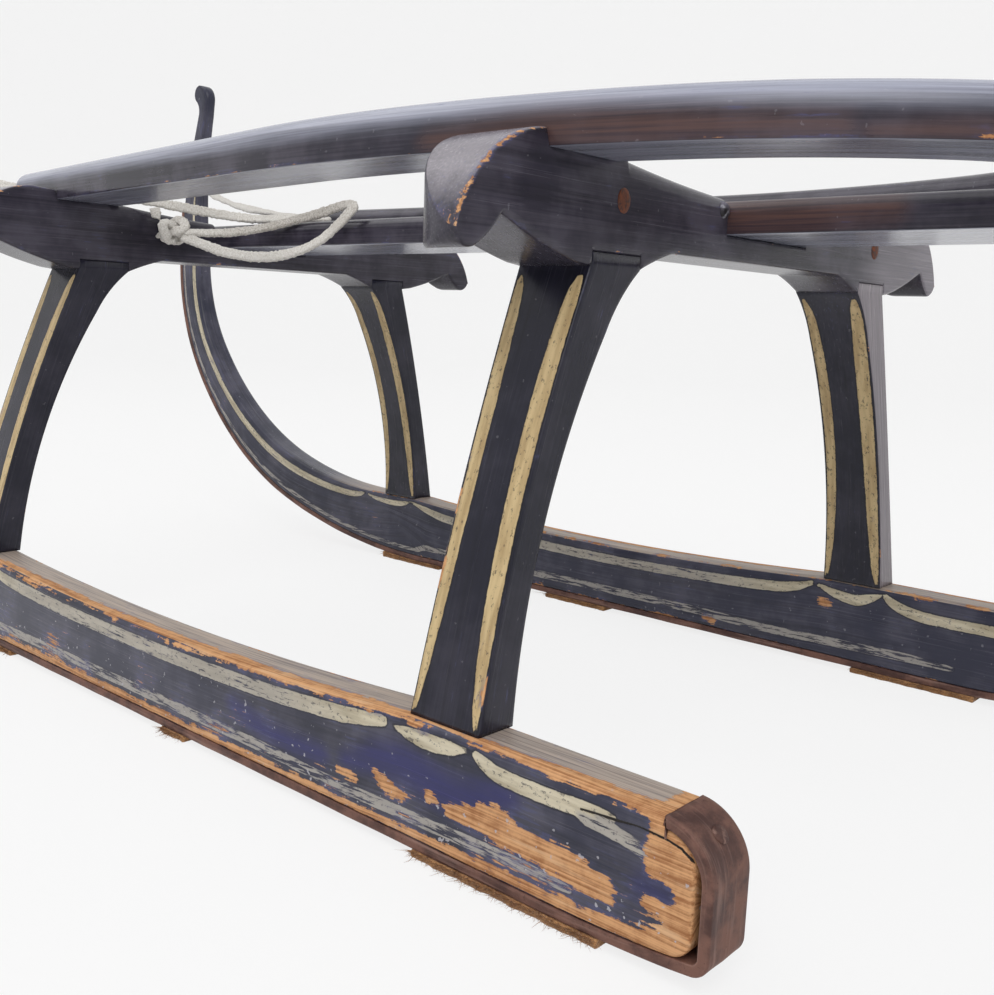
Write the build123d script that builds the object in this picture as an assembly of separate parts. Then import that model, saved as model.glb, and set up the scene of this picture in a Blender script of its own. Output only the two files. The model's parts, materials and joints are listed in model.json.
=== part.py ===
"""Antique child's push sled in painted wood with iron-shod runners.

Two sawn runners sweep up into horns at the front. Curved posts stand on them and carry two
scroll-ended cross beams. Two bowed side rails and a centre slat lie on the beams as the seat.
A suede pull cord runs from horn to horn, and its spare end is knotted and lies over the seat.

Millimetres. +X is forward, +Y is the sled's left, +Z is up. The origin is on the floor under the
middle of the sled's length and width.
"""
import math
import os

from build123d import *

# Heights, from the floor up
FELT_THICKNESS = 3.5
IRON_THICKNESS = 4.5
RUNNER_DEPTH = 50.5
POST_HEIGHT = 185.0
RUNNER_BOTTOM = FELT_THICKNESS + IRON_THICKNESS
RUNNER_TOP = RUNNER_BOTTOM + RUNNER_DEPTH
JOINT_Z = RUNNER_TOP + POST_HEIGHT

# Places along the sled
REAR_POST_X = -284.5
POST_SPACING = 421.0
FRONT_RAKE = 17.4
FRONT_POST_X = REAR_POST_X + POST_SPACING
FRONT_BEAM_X = FRONT_POST_X - FRONT_RAKE

# Places across the sled, in from the beams' ends
BEAM_LENGTH = 432.6
BEAM_END_Y = BEAM_LENGTH / 2
RUNNER_INSET = 29.3
POST_TOP_INSET = 76.8
RAIL_INSET = 57.0

# Runners
RUNNER_THICKNESS = 24.0
RUNNER_MIDDLE_Y = BEAM_END_Y - RUNNER_INSET
RUNNER_INNER_Y = RUNNER_MIDDLE_Y - RUNNER_THICKNESS / 2
RUNNER_TAIL = 120.5
RUNNER_REAR_X = REAR_POST_X - RUNNER_TAIL
HEEL_CORNER = 30.0
HEEL_TOE = 3.0
HEEL_RISE_RADIUS = 500.0
HEEL_RISE_DEGREES = 6.2
TONGUE_LENGTH = 36.0
TOP_DIP = 7.0
SWEEP_START = 14.6
FRONT_BENDS = ((600.0, 18.0), (310.0, 37.0), (195.0, 35.0))
INNER_BENDS = ((400.0, 18.0), (265.0, 37.0), (150.0, 35.0))
HORN_DEPTH = 30.0
IRON_END_BEND = (420.0, 8.0)
HORN_BEND = (300.0, 10.0)
HORN_STRAIGHT = 40.0
HORN_NECK = 12.6
HORN_NECK_DROP = 2.0
HORN_BACK_BOW = 2.0
HORN_BACK_SHARE = 0.42
HORN_TIP_THICKNESS = 12.0
HORN_TAPER_HEIGHT = 10.0

# Curl at a horn's tip: ahead of its neck, above its neck
CURL_THROAT = (0.3, 8.0)
CURL_BILL = (5.5, 14.5)
CURL_BROW = (6.5, 24.5)
CURL_CROWN = (-1.5, 29.0)
CURL_BACK = (-11.5, 25.0)
CURL_NAPE = (-15.5, 14.0)

# Posts
POST_WIDTH = 38.0
POST_WAIST = 35.0
POST_FOOT_THICKNESS = 20.5
POST_FOOT_INNER_Y = RUNNER_INNER_Y
POST_TOP_THICKNESS = 34.0
POST_TOP_INNER_Y = BEAM_END_Y - POST_TOP_INSET - POST_TOP_THICKNESS
POST_HOUSING = 5.5
POST_OUTER_BOW = 4.0
POST_INNER_BOW = 8.5
FLARE_HEIGHT = 26.0
FLARE_REACH = 20.5
FLARE_BOW = 1.8

# Beams
BEAM_THICKNESS = 38.0
BEAM_DEPTH = 36.0
BEAM_RISE = 3.0
BEAM_BOTTOM = JOINT_Z + BEAM_RISE
BEAM_END_FLAT = 0.5
BEAM_TOP_ROUND = 6.0
EAR_WIDTH = 8.5
EAR_RISE = 1.0
HOLLOW_REACH = 25.0
HOLLOW_MIDDLE = (11.0, -1.2)
SEAT_LEDGE = 1.0
DIP_SAG = 0.75
SHOULDER = (13.0, 2.5)

# Scroll at a beam's end: inset from the end, height over the posts' joint
SCROLL_CROWN = (47.8, 42.8)
SCROLL_BROW = (17.8, 31.0)
SCROLL_TIP = (0.0, 3.5)
SCROLL_CHIN = (4.3, -2.5)
SCROLL_LIP = (12.8, -1.2)
SCROLL_THROAT = (19.1, 4.0)
SCROLL_HOLLOW = (23.8, 9.9)
SCROLL_NECK = (44.3, 2.1)

# Seat
SLAT_WIDTH = 78.0
SLAT_THICKNESS = 15.5
SLAT_EDGE_ROUND = 6.0
SLAT_RISE = 14.5
SLAT_BOTTOM = JOINT_Z + SLAT_RISE
SEAT_OVERHANG = 62.2
SEAT_END_ROUND = 16.0
SLAT_FRONT_X = FRONT_BEAM_X + SEAT_OVERHANG
SLAT_TAIL = 30.0
RAIL_WIDTH = 43.0
RAIL_THICKNESS = 21.0
RAIL_ROUND = 12.0
RAIL_RISE = 35.8
RAIL_BOTTOM = JOINT_Z + RAIL_RISE
RAIL_TAIL = 184.5
RAIL_NOSE_X = REAR_POST_X - RAIL_TAIL
NOSE_DEGREES = 50.0
SIDE_BENDS = ((240.5, 23.0), (538.5, 23.0))
SEAT_CLEARANCE = 0.3

# Felt pads under the irons
PAD_WIDTH = 25.0

# Pull cord
CORD_DIAMETER = 5.0
NOOSE_X = 469.0
NOOSE_RISE = 280.5
NOOSE_Z = RUNNER_TOP + NOOSE_RISE
NOOSE_LENGTH = 31.0
NOOSE_WIDTH = 23.2
NOOSE_ROUND = 7.0
KNOT_RADIUS = 9.0


def heading_vector(degrees):
    """Unit vector in the drawing plane at an angle from its first axis."""
    return Vector(math.cos(math.radians(degrees)), math.sin(math.radians(degrees)))


def bent_run(start, heading, steps, outset=0.0):
    """Straight runs and tangent bends, one after the other, in the drawing plane.

    Each step is (straight length, bend radius, degrees), left turns positive. The outset moves the
    whole run to its right. Returns the edges, the end point without outset and the end heading.
    """
    edges = []
    point = Vector(*start)
    for straight, radius, degrees in steps:
        tangent = heading_vector(heading)
        right = heading_vector(heading - 90) * outset
        if straight:
            edges.append(Line(point + right, point + right + tangent * straight))
            point = point + tangent * straight
        if degrees:
            side = math.copysign(1.0, degrees)
            edges.append(JernArc(point + right, tangent, radius + side * outset, degrees))
            centre = point + heading_vector(heading + 90 * side) * radius
            heading = heading + degrees
            point = centre + heading_vector(heading - 90 * side) * radius
    return edges, point, heading


def side_view(face, y_low, y_high):
    """Solid of an X-Z drawing between two values of Y."""
    return extrude(Plane.XZ.offset(-y_low) * face, amount=-(y_high - y_low))


def front_view(face, x_low, x_high):
    """Solid of a Y-Z drawing between two values of X."""
    return extrude(Plane.YZ.offset(x_low) * face, amount=x_high - x_low)


def iron_steps():
    """Route of the iron's inner face: tongue, heel, sole, front sweep and the horn's lower part."""
    cosine = math.cos(math.radians(HEEL_RISE_DEGREES))
    sine = math.sin(math.radians(HEEL_RISE_DEGREES))
    toe_drop = HEEL_TOE * cosine + HEEL_RISE_RADIUS * (1 - cosine)
    heel_end = RUNNER_REAR_X + HEEL_TOE * (1 - sine) + HEEL_RISE_RADIUS * sine
    steps = [
        (TONGUE_LENGTH - HEEL_CORNER, HEEL_CORNER, 90.0),
        (RUNNER_DEPTH - IRON_THICKNESS - HEEL_CORNER - toe_drop, HEEL_TOE, 90.0 - HEEL_RISE_DEGREES),
        (0.0, HEEL_RISE_RADIUS, HEEL_RISE_DEGREES),
    ]
    sole = sole_end_x() - heel_end
    first = FRONT_BENDS[0]
    steps.append((sole, first[0], first[1]))
    for radius, degrees in FRONT_BENDS[1:]:
        steps.append((0.0, radius, degrees))
    steps.append((0.0, IRON_END_BEND[0], IRON_END_BEND[1]))
    return steps


def bend_reach(bends):
    """How far a row of bends carries forward and up, from level."""
    forward = 0.0
    upward = 0.0
    angle = 0.0
    for radius, degrees in bends:
        after = angle + degrees
        forward += radius * (math.sin(math.radians(after)) - math.sin(math.radians(angle)))
        upward += radius * (math.cos(math.radians(angle)) - math.cos(math.radians(after)))
        angle = after
    return forward, upward


def horn_base_x():
    """Rear side of the horn where it stands upright."""
    return FRONT_POST_X + POST_WIDTH / 2 + SWEEP_START + bend_reach(INNER_BENDS)[0]


def sole_end_x():
    """Where the flat sole starts to sweep up."""
    return horn_base_x() + HORN_DEPTH - bend_reach(FRONT_BENDS)[0]


def runner_outline():
    """X-Z outline of a runner's wood: sole, front sweep, horn with its curl, top and heel."""
    tongue = (RUNNER_REAR_X + TONGUE_LENGTH, RUNNER_TOP - IRON_THICKNESS)
    outer_steps = iron_steps() + [(0.0, *HORN_BEND), (HORN_STRAIGHT, 1.0, 0.0)]
    edges, neck, _ = bent_run(tongue, 180.0, outer_steps)
    inner_start = (horn_base_x() - bend_reach(INNER_BENDS)[0], RUNNER_TOP)
    inner_steps = [(0.0, radius, degrees) for radius, degrees in INNER_BENDS]
    inner, base, _ = bent_run(inner_start, 0.0, inner_steps)
    bill = neck + Vector(*CURL_BILL)
    crown = neck + Vector(*CURL_CROWN)
    nape = neck + Vector(*CURL_NAPE)
    neck_back = neck + Vector(-HORN_NECK, -HORN_NECK_DROP)
    back = base + Vector(HORN_BACK_BOW, HORN_BACK_SHARE * (neck.Y - base.Y))
    curl = [
        ThreePointArc(neck, neck + Vector(*CURL_THROAT), bill),
        ThreePointArc(bill, neck + Vector(*CURL_BROW), crown),
        ThreePointArc(crown, neck + Vector(*CURL_BACK), nape),
        Line(nape, neck_back),
        ThreePointArc(neck_back, back, base),
    ]
    front_toe = Vector(FRONT_POST_X - POST_WIDTH / 2, RUNNER_TOP)
    rear_toe = Vector(REAR_POST_X + POST_WIDTH / 2, RUNNER_TOP)
    dip = (front_toe + rear_toe) / 2 - Vector(0, TOP_DIP)
    tongue_top = Vector(tongue[0], RUNNER_TOP)
    top = [
        Line(inner_start, front_toe),
        ThreePointArc(front_toe, dip, rear_toe),
        Line(rear_toe, tongue_top),
        Line(tongue_top, tongue),
    ]
    return make_face(edges + curl + inner + top)


def taper_envelope():
    """Y-Z outline that thins a runner towards the tip of its horn, drawn about its middle."""
    half = RUNNER_THICKNESS / 2
    tip = HORN_TIP_THICKNESS / 2
    start = RUNNER_TOP + HORN_TAPER_HEIGHT
    top = JOINT_Z + 2 * POST_HEIGHT
    end = RUNNER_TOP + 2 * POST_HEIGHT
    right_side = [(half, 0), (half, start), (tip, end), (tip, top)]
    left_side = [(-y, z) for y, z in reversed(right_side)]
    return make_face(Polyline(*right_side, *left_side, close=True))


def tapered(face, side):
    """Runner piece on one side (1 left, -1 right) from its X-Z outline."""
    middle = side * RUNNER_MIDDLE_Y
    slab = side_view(face, middle - RUNNER_THICKNESS / 2, middle + RUNNER_THICKNESS / 2)
    ends = (RUNNER_REAR_X - RUNNER_DEPTH, horn_base_x() + 2 * RUNNER_DEPTH)
    return slab & Pos(0, middle, 0) * front_view(taper_envelope(), *ends)


def runner(side):
    """Sawn wooden runner with its swept horn."""
    return tapered(runner_outline(), side)


def iron_outer_edges():
    """Edges of the iron's outer face in the X-Z drawing."""
    tongue = (RUNNER_REAR_X + TONGUE_LENGTH, RUNNER_TOP - IRON_THICKNESS)
    edges, _, _ = bent_run(tongue, 180.0, iron_steps(), IRON_THICKNESS)
    return edges


def runner_iron(side):
    """Iron strap let into the heel, along the sole and up the front sweep."""
    tongue = (RUNNER_REAR_X + TONGUE_LENGTH, RUNNER_TOP - IRON_THICKNESS)
    inner, _, _ = bent_run(tongue, 180.0, iron_steps())
    outer = iron_outer_edges()
    caps = [Line(inner[0] @ 0, outer[0] @ 0), Line(inner[-1] @ 1, outer[-1] @ 1)]
    return tapered(make_face(inner + outer + caps), side)


def post(side, foot_x, top_x):
    """Curved post: its Y-Z bracket shape, waisted in X, with its top housed in the beam."""
    foot_outer = POST_FOOT_INNER_Y + POST_FOOT_THICKNESS
    top_outer = POST_TOP_INNER_Y + POST_TOP_THICKNESS
    shoulder = JOINT_Z - POST_HOUSING
    flare = (POST_TOP_INNER_Y + FLARE_REACH, shoulder - FLARE_HEIGHT)
    bracket = make_face([
        Line((POST_FOOT_INNER_Y, RUNNER_TOP), (foot_outer, RUNNER_TOP)),
        SagittaArc((foot_outer, RUNNER_TOP), (top_outer, shoulder), -POST_OUTER_BOW),
        Line((top_outer, shoulder), (top_outer, JOINT_Z)),
        Line((top_outer, JOINT_Z), (POST_TOP_INNER_Y, JOINT_Z)),
        Line((POST_TOP_INNER_Y, JOINT_Z), (POST_TOP_INNER_Y, shoulder)),
        SagittaArc((POST_TOP_INNER_Y, shoulder), flare, FLARE_BOW),
        SagittaArc(flare, (POST_FOOT_INNER_Y, RUNNER_TOP), POST_INNER_BOW),
    ])
    half = POST_WIDTH / 2
    waist = (POST_WIDTH - POST_WAIST) / 2
    outline = make_face([
        Line((foot_x - half, RUNNER_TOP), (foot_x + half, RUNNER_TOP)),
        SagittaArc((foot_x + half, RUNNER_TOP), (top_x + half, JOINT_Z), waist),
        Line((top_x + half, JOINT_Z), (top_x - half, JOINT_Z)),
        SagittaArc((top_x - half, JOINT_Z), (foot_x - half, RUNNER_TOP), waist),
    ])
    reach = abs(foot_x - top_x) + POST_WIDTH
    solid = front_view(bracket, top_x - reach, top_x + reach) & side_view(outline, 0, 2 * foot_outer)
    return solid if side > 0 else mirror(solid, about=Plane.XZ)


def nose_radius():
    """Radius of a rail's first bend, which carries its side out to the rails' spread."""
    reach = 0.0
    angle = NOSE_DEGREES
    for radius, degrees in SIDE_BENDS:
        after = min(angle + degrees, 90.0)
        reach += radius * (math.sin(math.radians(after)) - math.sin(math.radians(angle)))
        angle = after
    return (BEAM_END_Y - RAIL_INSET - reach) / math.sin(math.radians(NOSE_DEGREES))


def rail_path():
    """Centre line of the left rail in plan, from the nose at the rear to the front end."""
    bends = [(0.0, nose_radius(), -NOSE_DEGREES)]
    bends += [(0.0, radius, -degrees) for radius, degrees in SIDE_BENDS]
    nose = (RAIL_NOSE_X, 0.0)
    _, bends_end, heading = bent_run(nose, 90.0, bends)
    straight = (FRONT_BEAM_X + SEAT_OVERHANG - bends_end.X) / math.cos(math.radians(heading))
    edges, _, _ = bent_run(nose, 90.0, bends + [(straight, 1.0, 0.0)])
    return Pos(0, 0, RAIL_BOTTOM) * Wire(edges)


def rail_sweep(section):
    """Section carried along the left rail's centre line; its first axis points outwards."""
    start = Plane(origin=(RAIL_NOSE_X, 0, RAIL_BOTTOM), x_dir=(-1, 0, 0), z_dir=(0, 1, 0))
    return sweep(start * section, path=rail_path())


def side_rail(side):
    """Bowed seat rail with a flat underside and a top rounded at both sides."""
    section = Rectangle(RAIL_WIDTH, RAIL_THICKNESS)
    section = fillet(section.vertices().group_by(Axis.Y)[-1], RAIL_ROUND)
    rail = rail_sweep(Pos(0, RAIL_THICKNESS / 2) * section)
    path = rail_path()
    end = Plane(origin=path @ 1, x_dir=path % 1, z_dir=(0, 0, 1))
    rail -= extrude(end * rounded_off(RAIL_WIDTH), amount=RAIL_THICKNESS)
    return rail if side > 0 else mirror(rail, about=Plane.XZ)


def rounded_off(width):
    """What comes off a seat piece's front corners in plan, drawn with the end at the origin."""
    square = Pos(-SEAT_END_ROUND / 2, 0) * Rectangle(SEAT_END_ROUND, width)
    blank = Rectangle(2 * SEAT_END_ROUND, width)
    kept = Pos(-SEAT_END_ROUND, 0) * fillet(blank.vertices().group_by(Axis.X)[-1], SEAT_END_ROUND)
    return square - kept


def rail_housing():
    """Room for the left rail in the beams' tops, with clearance at its sides."""
    width = RAIL_WIDTH + 2 * SEAT_CLEARANCE
    return rail_sweep(Pos(0, BEAM_DEPTH / 2) * Rectangle(width, BEAM_DEPTH))


def scroll_point(place):
    """Point of the left scroll in the Y-Z drawing."""
    inset, height = place
    return (BEAM_END_Y - inset, JOINT_Z + height)


def beam_outline():
    """Left half of a beam's Y-Z outline: slat seat, dipped top, scroll, ears and underside."""
    slat_side = SLAT_WIDTH / 2 + SEAT_CLEARANCE
    slat_top = SLAT_BOTTOM + SLAT_THICKNESS
    ledge = (slat_side, slat_top + SEAT_LEDGE)
    top_outer = POST_TOP_INNER_Y + POST_TOP_THICKNESS
    ear_bottom = JOINT_Z - POST_HOUSING
    shoulder = (POST_TOP_INNER_Y + SHOULDER[0], RAIL_BOTTOM + SHOULDER[1])
    crown = scroll_point(SCROLL_CROWN)
    tip = scroll_point(SCROLL_TIP)
    lip = scroll_point(SCROLL_LIP)
    hollow = scroll_point(SCROLL_HOLLOW)
    ear = (top_outer + EAR_WIDTH, ear_bottom + EAR_RISE)
    inner_ear = (POST_TOP_INNER_Y, ear_bottom)
    under_middle = (POST_TOP_INNER_Y - HOLLOW_MIDDLE[0], JOINT_Z + HOLLOW_MIDDLE[1])
    under = (POST_TOP_INNER_Y - HOLLOW_REACH, BEAM_BOTTOM)
    return make_face([
        Line((0, SLAT_BOTTOM), (slat_side, SLAT_BOTTOM)),
        Line((slat_side, SLAT_BOTTOM), ledge),
        SagittaArc(ledge, shoulder, -DIP_SAG),
        Line(shoulder, crown),
        ThreePointArc(crown, scroll_point(SCROLL_BROW), tip),
        ThreePointArc(tip, scroll_point(SCROLL_CHIN), lip),
        ThreePointArc(lip, scroll_point(SCROLL_THROAT), hollow),
        ThreePointArc(hollow, scroll_point(SCROLL_NECK), ear),
        Line(ear, (top_outer, ear_bottom)),
        Line((top_outer, ear_bottom), inner_ear),
        ThreePointArc(inner_ear, under_middle, under),
        Line(under, (0, BEAM_BOTTOM)),
        Line((0, BEAM_BOTTOM), (0, SLAT_BOTTOM)),
    ])


def is_dip_edge(edge):
    """True for the two long edges of a beam's dipped top, between the slat's seat and the rail."""
    middle = edge @ 0.5
    over_slat = middle.Z > SLAT_BOTTOM + SLAT_THICKNESS + SEAT_LEDGE
    between = SLAT_WIDTH / 2 < middle.Y < POST_TOP_INNER_Y
    return edge.geom_type == GeomType.CIRCLE and over_slat and between


def beam(centre_x):
    """Cross beam with scroll ends, housed for the posts below and the seat above."""
    half = front_view(beam_outline(), centre_x - BEAM_THICKNESS / 2, centre_x + BEAM_THICKNESS / 2)
    dip_edges = [edge for edge in half.edges() if is_dip_edge(edge)]
    half = fillet(dip_edges, BEAM_TOP_ROUND)
    half -= rail_housing()
    housing_y = POST_TOP_INNER_Y + POST_TOP_THICKNESS / 2
    housing = Box(2 * BEAM_THICKNESS, POST_TOP_THICKNESS, 2 * POST_HOUSING)
    half -= Pos(centre_x, housing_y, JOINT_Z - POST_HOUSING) * housing
    plan = Rectangle(BEAM_THICKNESS, 2 * BEAM_END_Y)
    plan = fillet(plan.vertices().group_by(Axis.X)[-1], BEAM_THICKNESS - BEAM_END_FLAT)
    rounded = extrude(Pos(centre_x, 0, JOINT_Z - BEAM_DEPTH) * plan, amount=3 * BEAM_DEPTH)
    return (half + mirror(half, about=Plane.XZ)) & rounded


def centre_slat():
    """Flat centre slat with rounded top edges, in the beams' seats and out to its tail."""
    section = Rectangle(SLAT_WIDTH, SLAT_THICKNESS)
    section = fillet(section.vertices().group_by(Axis.Y)[-1], SLAT_EDGE_ROUND)
    section = Pos(0, SLAT_BOTTOM + SLAT_THICKNESS / 2) * section
    slat = front_view(section, RAIL_NOSE_X + RAIL_WIDTH / 2 - SLAT_TAIL, SLAT_FRONT_X)
    return slat - extrude(Pos(SLAT_FRONT_X, 0, SLAT_BOTTOM) * rounded_off(SLAT_WIDTH), amount=SLAT_THICKNESS)


def tail_packing():
    """Thin block that carries the rails' joined nose on the slat's tail."""
    height = RAIL_BOTTOM - SLAT_BOTTOM - SLAT_THICKNESS
    middle_x = RAIL_NOSE_X + RAIL_WIDTH / 2 - SLAT_TAIL / 2
    block = Box(SLAT_TAIL, SLAT_WIDTH - 2 * SLAT_EDGE_ROUND, height)
    return Pos(middle_x, 0, RAIL_BOTTOM - height / 2) * block


# Felt pads: name, side (1 left, -1 right), start and end behind or ahead of the rear post's middle
PADS = (
    ("felt_rear_left", 1, -81.0, 13.0),
    ("felt_rear_right", -1, -82.0, -4.0),
    ("felt_middle_left", 1, 178.0, 199.0),
    ("felt_middle_right", -1, 192.0, 250.0),
    ("felt_front_left", 1, 370.0, 441.0),
    ("felt_front_right", -1, 370.0, 441.0),
)


def felt_pad(side, start, end):
    """Strip of felt, flat on the floor and cut to the iron's underside above it."""
    height = 2 * RUNNER_BOTTOM
    middle_y = side * RUNNER_MIDDLE_Y
    strip = Pos(REAR_POST_X + (start + end) / 2, middle_y, height / 2) * Box(end - start, PAD_WIDTH, height)
    outer = iron_outer_edges()
    within = make_face(outer + [Line(outer[-1] @ 1, outer[0] @ 0)])
    return strip - side_view(within, middle_y - PAD_WIDTH, middle_y + PAD_WIDTH)


# The cord's routes, in the order that it is laid
PULL_CORD_ROUTE = (
    (449.4, -186.5, 339.0),
    (403.5, -162.0, 329.0),
    (351.5, -136.0, 320.0),
    (299.5, -110.0, 311.5),
    (247.5, -85.0, 304.0),
    (195.5, -60.0, 297.0),
    (145.0, -35.0, 291.0),
    (98.0, -14.0, 285.5),
    (62.0, -3.0, 280.5),
    (37.5, 3.0, 277.5),
    (18.5, 7.0, 276.5),
    (12.9, 15.3, 276.5),
    (14.1, 25.2, 276.5),
    (21.5, 31.9, 276.5),
    (40.5, 32.5, 276.5),
    (62.5, 31.0, 277.0),
    (79.0, 37.0, 278.5),
    (88.0, 55.0, 280.5),
    (92.5, 76.0, 282.5),
    (97.5, 92.0, 284.5),
    (109.5, 97.5, 286.2),
    (127.0, 96.5, 286.6),
    (158.0, 96.0, 287.6),
    (198.0, 101.0, 291.5),
    (246.0, 117.5, 298.5),
    (295.0, 134.5, 307.0),
    (344.0, 151.0, 316.5),
    (390.0, 166.5, 326.0),
    (424.0, 178.0, 333.5),
    (449.4, 186.5, 339.0),
)
CORD_TAIL_ROUTE = (
    (94.5, 90.0, 279.8),
    (93.3, 90.4, 276.0),
    (90.6, 88.4, 272.4),
)
CORD_LOOP_ROUTE = (
    (77.8, 79.2, 262.2),
    (61.5, 74.0, 256.5),
    (38.5, 69.0, 251.0),
    (13.5, 65.0, 249.0),
    (-9.5, 60.0, 251.0),
    (-27.5, 54.0, 257.5),
    (-38.0, 49.5, 266.0),
    (-44.5, 44.5, 274.5),
    (-46.0, 40.0, 280.0),
    (-40.0, 37.5, 282.5),
    (-28.5, 37.0, 281.5),
    (-12.5, 36.5, 278.3),
    (9.5, 36.5, 275.6),
    (30.5, 45.5, 269.8),
    (50.5, 60.0, 265.5),
    (66.5, 70.5, 264.8),
    (77.6, 77.2, 265.2),
)
KNOT_CENTRE = (86.5, 82.0, 265.5)
CORD_BEND_SHARE = 0.45


def cord_tube(name, route):
    """Tube of straight runs and tangent arcs, each arc as large as its runs allow."""
    points = [Vector(*point) for point in route]
    radii = []
    for before, corner, after in zip(points, points[1:], points[2:]):
        turn = (corner - before).get_angle(after - corner)
        shorter = min((corner - before).length, (after - corner).length)
        radii.append(CORD_BEND_SHARE * shorter / math.tan(math.radians(turn / 2)))
    print(name, "bend radii", [round(radius, 1) for radius in radii])
    path = FilletPolyline(*points, radius=radii)
    start = Plane(origin=path @ 0, z_dir=path % 0)
    return sweep(start * Circle(CORD_DIAMETER / 2), path=path)


def cord_knot():
    """Round knot that gathers the cord's spare loop."""
    return Pos(*KNOT_CENTRE) * Sphere(KNOT_RADIUS)


def noose(side):
    """Turn of cord round a horn, where the pull cord is tied."""
    ring = RectangleRounded(NOOSE_LENGTH, NOOSE_WIDTH, NOOSE_ROUND).wire()
    middle = Pos(NOOSE_X, side * RUNNER_MIDDLE_Y, NOOSE_Z)
    path = middle * ring
    start = Plane(origin=path @ 0, z_dir=path % 0)
    return sweep(start * Circle(CORD_DIAMETER / 2), path=path)


NODES = {
    "pull_cord": cord_tube("pull_cord", PULL_CORD_ROUTE),
    "cord_tail": cord_tube("cord_tail", CORD_TAIL_ROUTE),
    "cord_loop": cord_tube("cord_loop", CORD_LOOP_ROUTE),
    "cord_knot": cord_knot(),
    "beam_rear": beam(REAR_POST_X),
    "beam_front": beam(FRONT_BEAM_X),
    "centre_slat": centre_slat(),
    "tail_packing": tail_packing(),
}
for side_name, side in (("left", 1), ("right", -1)):
    NODES[f"runner_{side_name}"] = runner(side)
    NODES[f"runner_iron_{side_name}"] = runner_iron(side)
    NODES[f"post_rear_{side_name}"] = post(side, REAR_POST_X, REAR_POST_X)
    NODES[f"post_front_{side_name}"] = post(side, FRONT_POST_X, FRONT_BEAM_X)
    NODES[f"side_rail_{side_name}"] = side_rail(side)
    NODES[f"noose_{side_name}"] = noose(side)
for pad_name, pad_side, pad_start, pad_end in PADS:
    NODES[pad_name] = felt_pad(pad_side, pad_start, pad_end)

os.makedirs("parts", exist_ok=True)
for node_name, solid in NODES.items():
    export_step(solid, f"parts/{node_name}.step")
    box = solid.bounding_box()
    reach_x = (round(box.min.X, 1), round(box.max.X, 1))
    reach_z = (round(box.min.Z, 1), round(box.max.Z, 1))
    print(node_name, "x", *reach_x, "z", *reach_z)
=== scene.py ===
"""Dressing of an antique child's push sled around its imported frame, for Blender 4.5.

Every wooden member is a surface of rounded sections carried along the member. Each vertex holds the
depth inside the painted stripes and the bare patches, so that the paint's edges stay crisp in the
material. The irons, the felt under them and the suede pull cord are made in the same way.

Sizes are in millimetres until a mesh is made. +X is forward, +Y is the sled's left, +Z is up.
"""
import json
import logging
import math
from dataclasses import dataclass, field
from enum import Enum, IntEnum

import bpy
import numpy as np
from mathutils import Matrix

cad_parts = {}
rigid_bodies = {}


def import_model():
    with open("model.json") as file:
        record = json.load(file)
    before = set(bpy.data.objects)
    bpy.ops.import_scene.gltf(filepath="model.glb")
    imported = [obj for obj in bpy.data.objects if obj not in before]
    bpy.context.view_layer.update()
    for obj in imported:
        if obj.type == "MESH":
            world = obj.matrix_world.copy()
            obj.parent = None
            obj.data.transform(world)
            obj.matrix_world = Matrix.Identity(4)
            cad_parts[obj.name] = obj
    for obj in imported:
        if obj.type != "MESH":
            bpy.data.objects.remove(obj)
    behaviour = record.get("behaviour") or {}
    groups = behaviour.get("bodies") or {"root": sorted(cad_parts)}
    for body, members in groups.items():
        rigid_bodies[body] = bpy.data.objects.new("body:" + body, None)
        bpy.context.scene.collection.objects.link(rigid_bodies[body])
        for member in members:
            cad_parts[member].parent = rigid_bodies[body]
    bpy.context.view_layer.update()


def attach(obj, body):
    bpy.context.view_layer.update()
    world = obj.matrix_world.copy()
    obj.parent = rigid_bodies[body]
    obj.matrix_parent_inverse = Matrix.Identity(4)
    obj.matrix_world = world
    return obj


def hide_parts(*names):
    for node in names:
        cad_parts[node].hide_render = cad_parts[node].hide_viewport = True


LOG = logging.getLogger("sled")
MM = 0.001
BODY = "root"
FAR = 60.0
Array = np.ndarray
Sizes = Array | float
Pair = tuple[float, float]
Point = tuple[float, float, float]
Bends = tuple[Pair, ...]
Knots = tuple[Point, ...]
Colour = tuple[float, float, float, float]
Piece = bpy.types.Object
Material = bpy.types.Material
Tree = bpy.types.NodeTree
Node = bpy.types.Node
Socket = bpy.types.NodeSocket


class Face(IntEnum):
    """Side of a member's section."""

    OUTER = 0
    TOP = 1
    INNER = 2
    BOTTOM = 3


class Slot(Enum):
    """Material slots of the part's record."""

    WOOD = "painted_wood"
    IRON = "runner_iron"
    FELT = "felt"
    SUEDE = "suede"


class Hand(IntEnum):
    """Side of the sled; the value is the sign of Y."""

    LEFT = 1
    RIGHT = -1

    @property
    def word(self) -> str:
        """Side's name as the nodes have it."""
        return "left" if self is Hand.LEFT else "right"


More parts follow.
